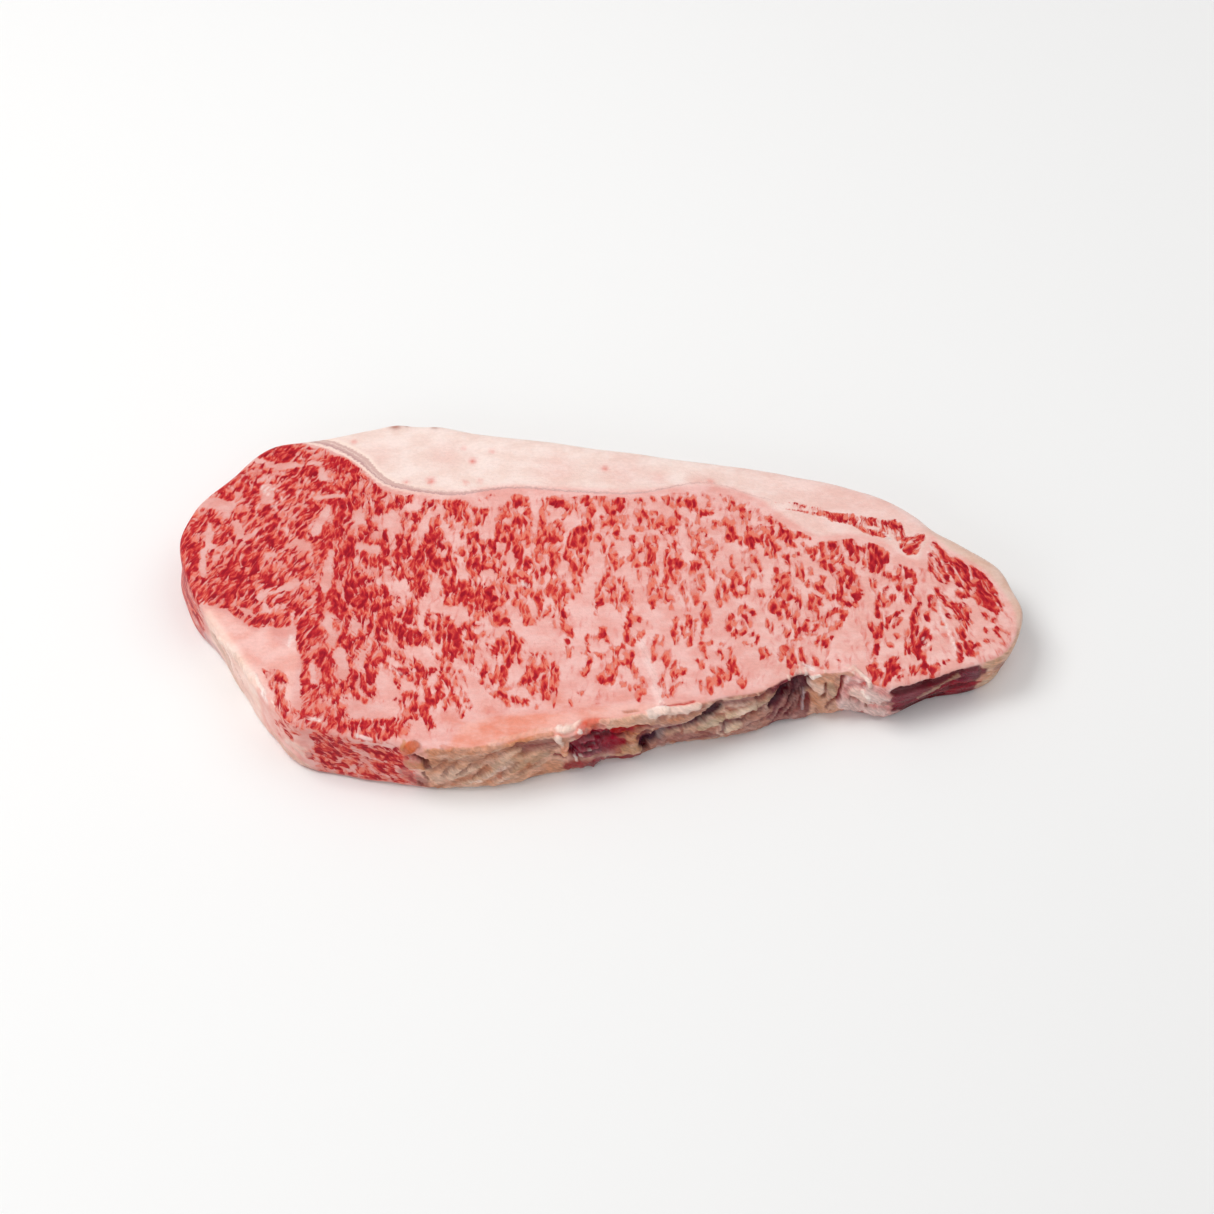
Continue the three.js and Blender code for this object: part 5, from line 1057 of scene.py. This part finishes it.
def petals(where, scale, bias, gain):
    """Rounded bundles side by side. Each one is more or less lean than the next."""
    scaled = add(marbling, "VectorMath", {0: where, 1: scale}, operation="MULTIPLY").outputs[0]
    cell = add(marbling, "TexVoronoi", {"Vector": scaled, "Scale": 1.0, "Smoothness": 0.4},
               voronoi_dimensions="2D", feature="SMOOTH_F1")
    height = calc(marbling, "MULTIPLY", calc(marbling, "SUBTRACT", 0.42, cell.outputs["Distance"]), gain)
    own = noise(marbling, cell.outputs["Position"], (1.3, 1.3, 1.3), detail=0)
    return total_of(height, shifted(marbling, own, 0.5, bias * 0.6))


def bundles(where):
    """Petals that hang together on branching strands."""
    return total_of(petals(where, PETAL_SCALE, 1.1, 1.7), ridges(where, STRAND_SCALE, 0.15, 0.3, -0.3))


here = bundles(grain)
grain_ahead = add(marbling, "VectorMath", {0: grain, 1: SLOPE_STEP}, operation="ADD").outputs[0]
ahead = bundles(grain_ahead)
broad = total_of(
    marbling_in.outputs["Amount"],
    ridges(grain, SEAM_SCALE, 0.045, -0.4, 0.05),
    shifted(marbling, noise(marbling, grain, BUNDLE_SCALE, detail=0), 0.5, 0.8),
)
streaks = shifted(marbling, noise(marbling, grain, STREAK_SCALE, detail=4, roughness=0.7), 0.5, 1.2)


def weighted(pattern, when_coarse, when_fine):
    weight = ease(marbling, fineness, 0.0, 1.0, when_coarse, when_fine)
    return calc(marbling, "MULTIPLY", pattern, weight)


fibre_bundles = total_of(
    weighted(here, 1.0, 0.5),
    weighted(petals(grain, FIBRE_SCALE, 0.8, 1.0), 0.35, 0.9),
    weighted(streaks, 2.0, 3.4),
)
# Deep in the fat no bundle shows, however thick it is.
shown = ease(marbling, broad, -1.2, 0.0, 0.25, 1.0)
total = calc(marbling, "MULTIPLY_ADD", fibre_bundles, shown, broad)
marbling_out = marbling.nodes.new("NodeGroupOutput")
marbling.links.new(total, marbling_out.inputs["Lean"])
marbling.links.new(calc(marbling, "SUBTRACT", ahead, here), marbling_out.inputs["Slope"])

meat = bpy.data.materials.new("marbled_beef")
meat.use_nodes = True
tree = meat.node_tree
surface = tree.nodes["Principled BSDF"]


def layer(name, output="Fac"):
    return add(tree, "Attribute", attribute_name=name).outputs[output]


where = add(tree, "TexCoord").outputs["Object"]
where_mm = add(tree, "VectorMath", {0: where, 1: (1000.0, 1000.0, 1000.0)}, operation="MULTIPLY").outputs[0]
round_mm = layer("round", "Vector")


def grain_at(source, angle):
    """The source's coordinates turned so that their second axis runs along fibres at this angle."""
    sockets = {"Vector": source, "Angle": math.radians(90 - angle)}
    return add(tree, "VectorRotate", sockets, rotation_type="Z_AXIS").outputs[0]


lean_amount = layer("lean")


def marbled(source, angle, fineness_here):
    sockets = {"Fineness": fineness_here, "Grain": grain_at(source, angle), "Amount": lean_amount}
    return add(tree, "Group", sockets, node_tree=marbling).outputs


def mixed(share, first, second):
    return add(tree, "Mix", {0: share, 2: first, 3: second}, data_type="FLOAT").outputs[0]


x_mm = add(tree, "SeparateXYZ", {0: where_mm}).outputs[0]
lobe = marbled(where_mm, 58, 0.6)
eye = marbled(where_mm, 88, layer("fine"))
tail = marbled(where_mm, 115, 0.25)
walls = marbled(round_mm, 160, 0.8)


def over_the_slice(output):
    """An output of the marbling, taken from the grain that runs in each region."""
    value = mixed(layer("lobe"), eye[output], lobe[output])
    value = mixed(layer("tail"), value, tail[output])
    return mixed(layer("wall"), value, walls[output])


lean_depth = over_the_slice("Lean")
slope = over_the_slice("Slope")

FAT_OVER_LEAN = colour(225, 138, 130)
LEAN_EDGE = colour(230, 126, 106)
LEAN_ORANGE = colour(217, 82, 66)
LEAN_RED = colour(192, 34, 42)
LEAN_CORE = colour(152, 6, 30)

# The lean is darker towards the head and the tail.
head_tone = ease(tree, x_mm, 10.0, -80.0, -0.14, 0.24)
end_tone = calc(tree, "ADD", head_tone, ease(tree, x_mm, 40.0, 105.0, 0.0, 0.35))
lean_tone = calc(tree, "MULTIPLY_ADD", slope, 1.3, calc(tree, "ADD", lean_depth, end_tone))
lean_ramp = add(tree, "ValToRGB", {0: calc(tree, "MULTIPLY", lean_tone, 0.5)})
stops = lean_ramp.color_ramp
stops.elements[0].position, stops.elements[0].color = 0.0, LEAN_EDGE
stops.elements[1].position, stops.elements[1].color = 0.15, LEAN_ORANGE
stops.elements.new(0.4).color = LEAN_RED
stops.elements.new(0.74).color = LEAN_CORE
edge_softness = ease(tree, slope, -0.3, 0.3, 0.36, 0.12)
edge_softness = calc(tree, "MULTIPLY", edge_softness, ease(tree, x_mm, -20.0, -75.0, 1.0, 1.7))
lean_share = ease(tree, lean_depth, calc(tree, "MULTIPLY", edge_softness, -1.0), edge_softness)
uncovered = calc(tree, "SUBTRACT", 1.0, layer("hidden"))
lean_share = calc(tree, "MULTIPLY", lean_share, uncovered)
mottle = noise(tree, where_mm, (0.13, 0.2, 0.2), detail=4, roughness=0.6)
fine_mottle = noise(tree, where_mm, (0.9, 1.3, 1.0), detail=2)
fibres = noise(tree, grain_at(round_mm, 148), (1.3, 0.2, 0.3), detail=3, roughness=0.6)
fibre_light = mixed(layer("hidden"), 0.0, ease(tree, fibres, 0.3, 0.7, -0.22, 0.16))
fat_light = ease(tree, mottle, 0.3, 0.7, 0.955, 1.035)
fat_light = calc(tree, "ADD", fat_light, ease(tree, fine_mottle, 0.3, 0.7, -0.03, 0.03))
fat = add(tree, "HueSaturation", {
    "Saturation": ease(tree, mottle, 0.35, 0.65, 1.15, 0.9),
    "Value": calc(tree, "ADD", fat_light, fibre_light),
    "Color": layer("tint", "Color"),
}).outputs[0]
halo = calc(tree, "MULTIPLY", ease(tree, lean_depth, -0.9, 0.1), uncovered)
skin = blend(tree, halo, fat, FAT_OVER_LEAN)
skin = blend(tree, lean_share, skin, lean_ramp.outputs["Color"])

# The silverskin is a greyish mauve sheet seen edge on, darkest at its lean side, with fine pale
# threads in it and a cream rim on either side.
SILVERSKIN = colour(206, 166, 160)
SILVERSKIN_LINE = colour(180, 132, 134)
SILVERSKIN_THREAD = colour(234, 208, 200)
SILVERSKIN_EDGE = colour(250, 224, 212)
seam_offset = calc(tree, "ADD", layer("seam"), ease(tree, fine_mottle, 0.3, 0.7, -0.25, 0.25))
silver_width = layer("silver")
silver_depth = calc(tree, "SUBTRACT", silver_width, calc(tree, "ABSOLUTE", seam_offset))
across = calc(tree, "DIVIDE", seam_offset, calc(tree, "MAXIMUM", silver_width, 0.2))
sheet = blend(tree, ease(tree, across, -0.9, 0.1, 0.9, 0.0), SILVERSKIN, SILVERSKIN_LINE)
along_sheet = add(tree, "CombineXYZ", {0: across, 1: calc(tree, "MULTIPLY", x_mm, 0.05)}).outputs[0]
thread_at = noise(tree, along_sheet, (2.6, 1.0, 1.0), detail=2)
sheet = blend(tree, ease(tree, thread_at, 0.52, 0.62, 0.0, 0.7), sheet, SILVERSKIN_THREAD)
edge_width = ease(tree, silver_width, 0.4, 1.2, 0.0, 1.0)
pale_edge = ease(tree, silver_depth, -1.5, -0.4, 0.0, 0.85)
pale_edge = calc(tree, "MULTIPLY", pale_edge, edge_width)
skin = blend(tree, pale_edge, skin, SILVERSKIN_EDGE)
skin = blend(tree, ease(tree, silver_depth, -0.35, 0.3, 0.0, 0.85), skin, sheet)

# Wet lean shines more than fat. The knife's drag and the bundles leave a fine relief.
moisture = noise(tree, where_mm, (0.35, 0.35, 0.35), detail=3, roughness=0.6)
roughness = ease(tree, moisture, 0.3, 0.7, 0.3, 0.5)
roughness = calc(tree, "MULTIPLY_ADD", layer("wet"), -0.18, roughness)
tree.links.new(roughness, surface.inputs["Roughness"])
shine = calc(tree, "MULTIPLY", lean_share, 0.1)
shine = calc(tree, "MULTIPLY_ADD", layer("wet"), 0.6, shine, clamp=True)
tree.links.new(shine, surface.inputs["Coat Weight"])
surface.inputs["Coat Roughness"].default_value = 0.15
drag = noise(tree, where_mm, (0.07, 1.5, 1.0), detail=2)
grit = noise(tree, where_mm, (2.2, 2.2, 2.2), detail=2, roughness=0.7)
height = calc(tree, "MULTIPLY", drag, 0.25)
height = calc(tree, "MULTIPLY_ADD", grit, 0.35, height)
height = calc(tree, "MULTIPLY_ADD", lean_share, -0.35, height)
height = calc(tree, "MULTIPLY_ADD", fibre_light, 1.5, height)
relief = add(tree, "Bump", {"Strength": 0.6, "Distance": 0.0006, "Height": height})
tree.links.new(relief.outputs[0], surface.inputs["Normal"])

tree.links.new(skin, surface.inputs["Base Color"])
surface.inputs["Specular IOR Level"].default_value = 0.1
surface.inputs["Subsurface Weight"].default_value = 0.03
surface.inputs["Subsurface Radius"].default_value = (1.0, 0.45, 0.3)
surface.inputs["Subsurface Scale"].default_value = 0.001
flesh.materials.clear()
flesh.materials.append(meat)

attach(steak, "root")
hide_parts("steak")

# ---------------------------------------------------------------------------------------------
# The studio: a pale matt floor and large soft lamps overhead.

FLOOR_REACH = 3.0
floor_mesh = bpy.data.meshes.new("floor")
floor_mesh.from_pydata(
    [(-FLOOR_REACH, -FLOOR_REACH, 0), (FLOOR_REACH, -FLOOR_REACH, 0), (FLOOR_REACH, FLOOR_REACH, 0),
     (-FLOOR_REACH, FLOOR_REACH, 0)], [], [(0, 1, 2, 3)])
floor = bpy.data.objects.new("floor", floor_mesh)
bpy.context.scene.collection.objects.link(floor)
floor_finish = bpy.data.materials.new("floor")
floor_finish.use_nodes = True
floor_shader = floor_finish.node_tree.nodes["Principled BSDF"]
floor_shader.inputs["Base Color"].default_value = (0.9, 0.9, 0.9, 1)
floor_shader.inputs["Roughness"].default_value = 0.9
floor_shader.inputs["Specular IOR Level"].default_value = 0.1
floor_mesh.materials.append(floor_finish)

# name, azimuth, elevation, distance, size (m), power (W), colour
LAMPS = [
    ("key", -105, 60, 1.1, 0.6, 6.4, (1, 0.99, 0.97)),
    ("fill", 115, 60, 1.2, 0.9, 2.8, (1, 1, 1)),
    ("front", -28, 26, 1.3, 0.7, 2.8, (1, 1, 1)),
]
for name, azimuth, elevation, distance, size, power, lamp_colour in LAMPS:
    lamp_data = bpy.data.lights.new(name, "AREA")
    lamp_data.size = size
    lamp_data.energy = power
    lamp_data.color = lamp_colour
    lamp = bpy.data.objects.new(name, lamp_data)
    across, upward = math.radians(azimuth), math.radians(elevation)
    level_reach = math.cos(upward)
    away = Vector((math.sin(across) * level_reach, -math.cos(across) * level_reach, math.sin(upward)))
    lamp.location = away * distance
    lamp.rotation_euler = away.to_track_quat("Z", "Y").to_euler()
    bpy.context.scene.collection.objects.link(lamp)

world = bpy.data.worlds.new("studio")
world.use_nodes = True
world.node_tree.nodes["Background"].inputs["Color"].default_value = (1, 1, 1, 1)
world.node_tree.nodes["Background"].inputs["Strength"].default_value = 0.42
bpy.context.scene.world = world
bpy.context.scene.view_settings.view_transform = "Standard"
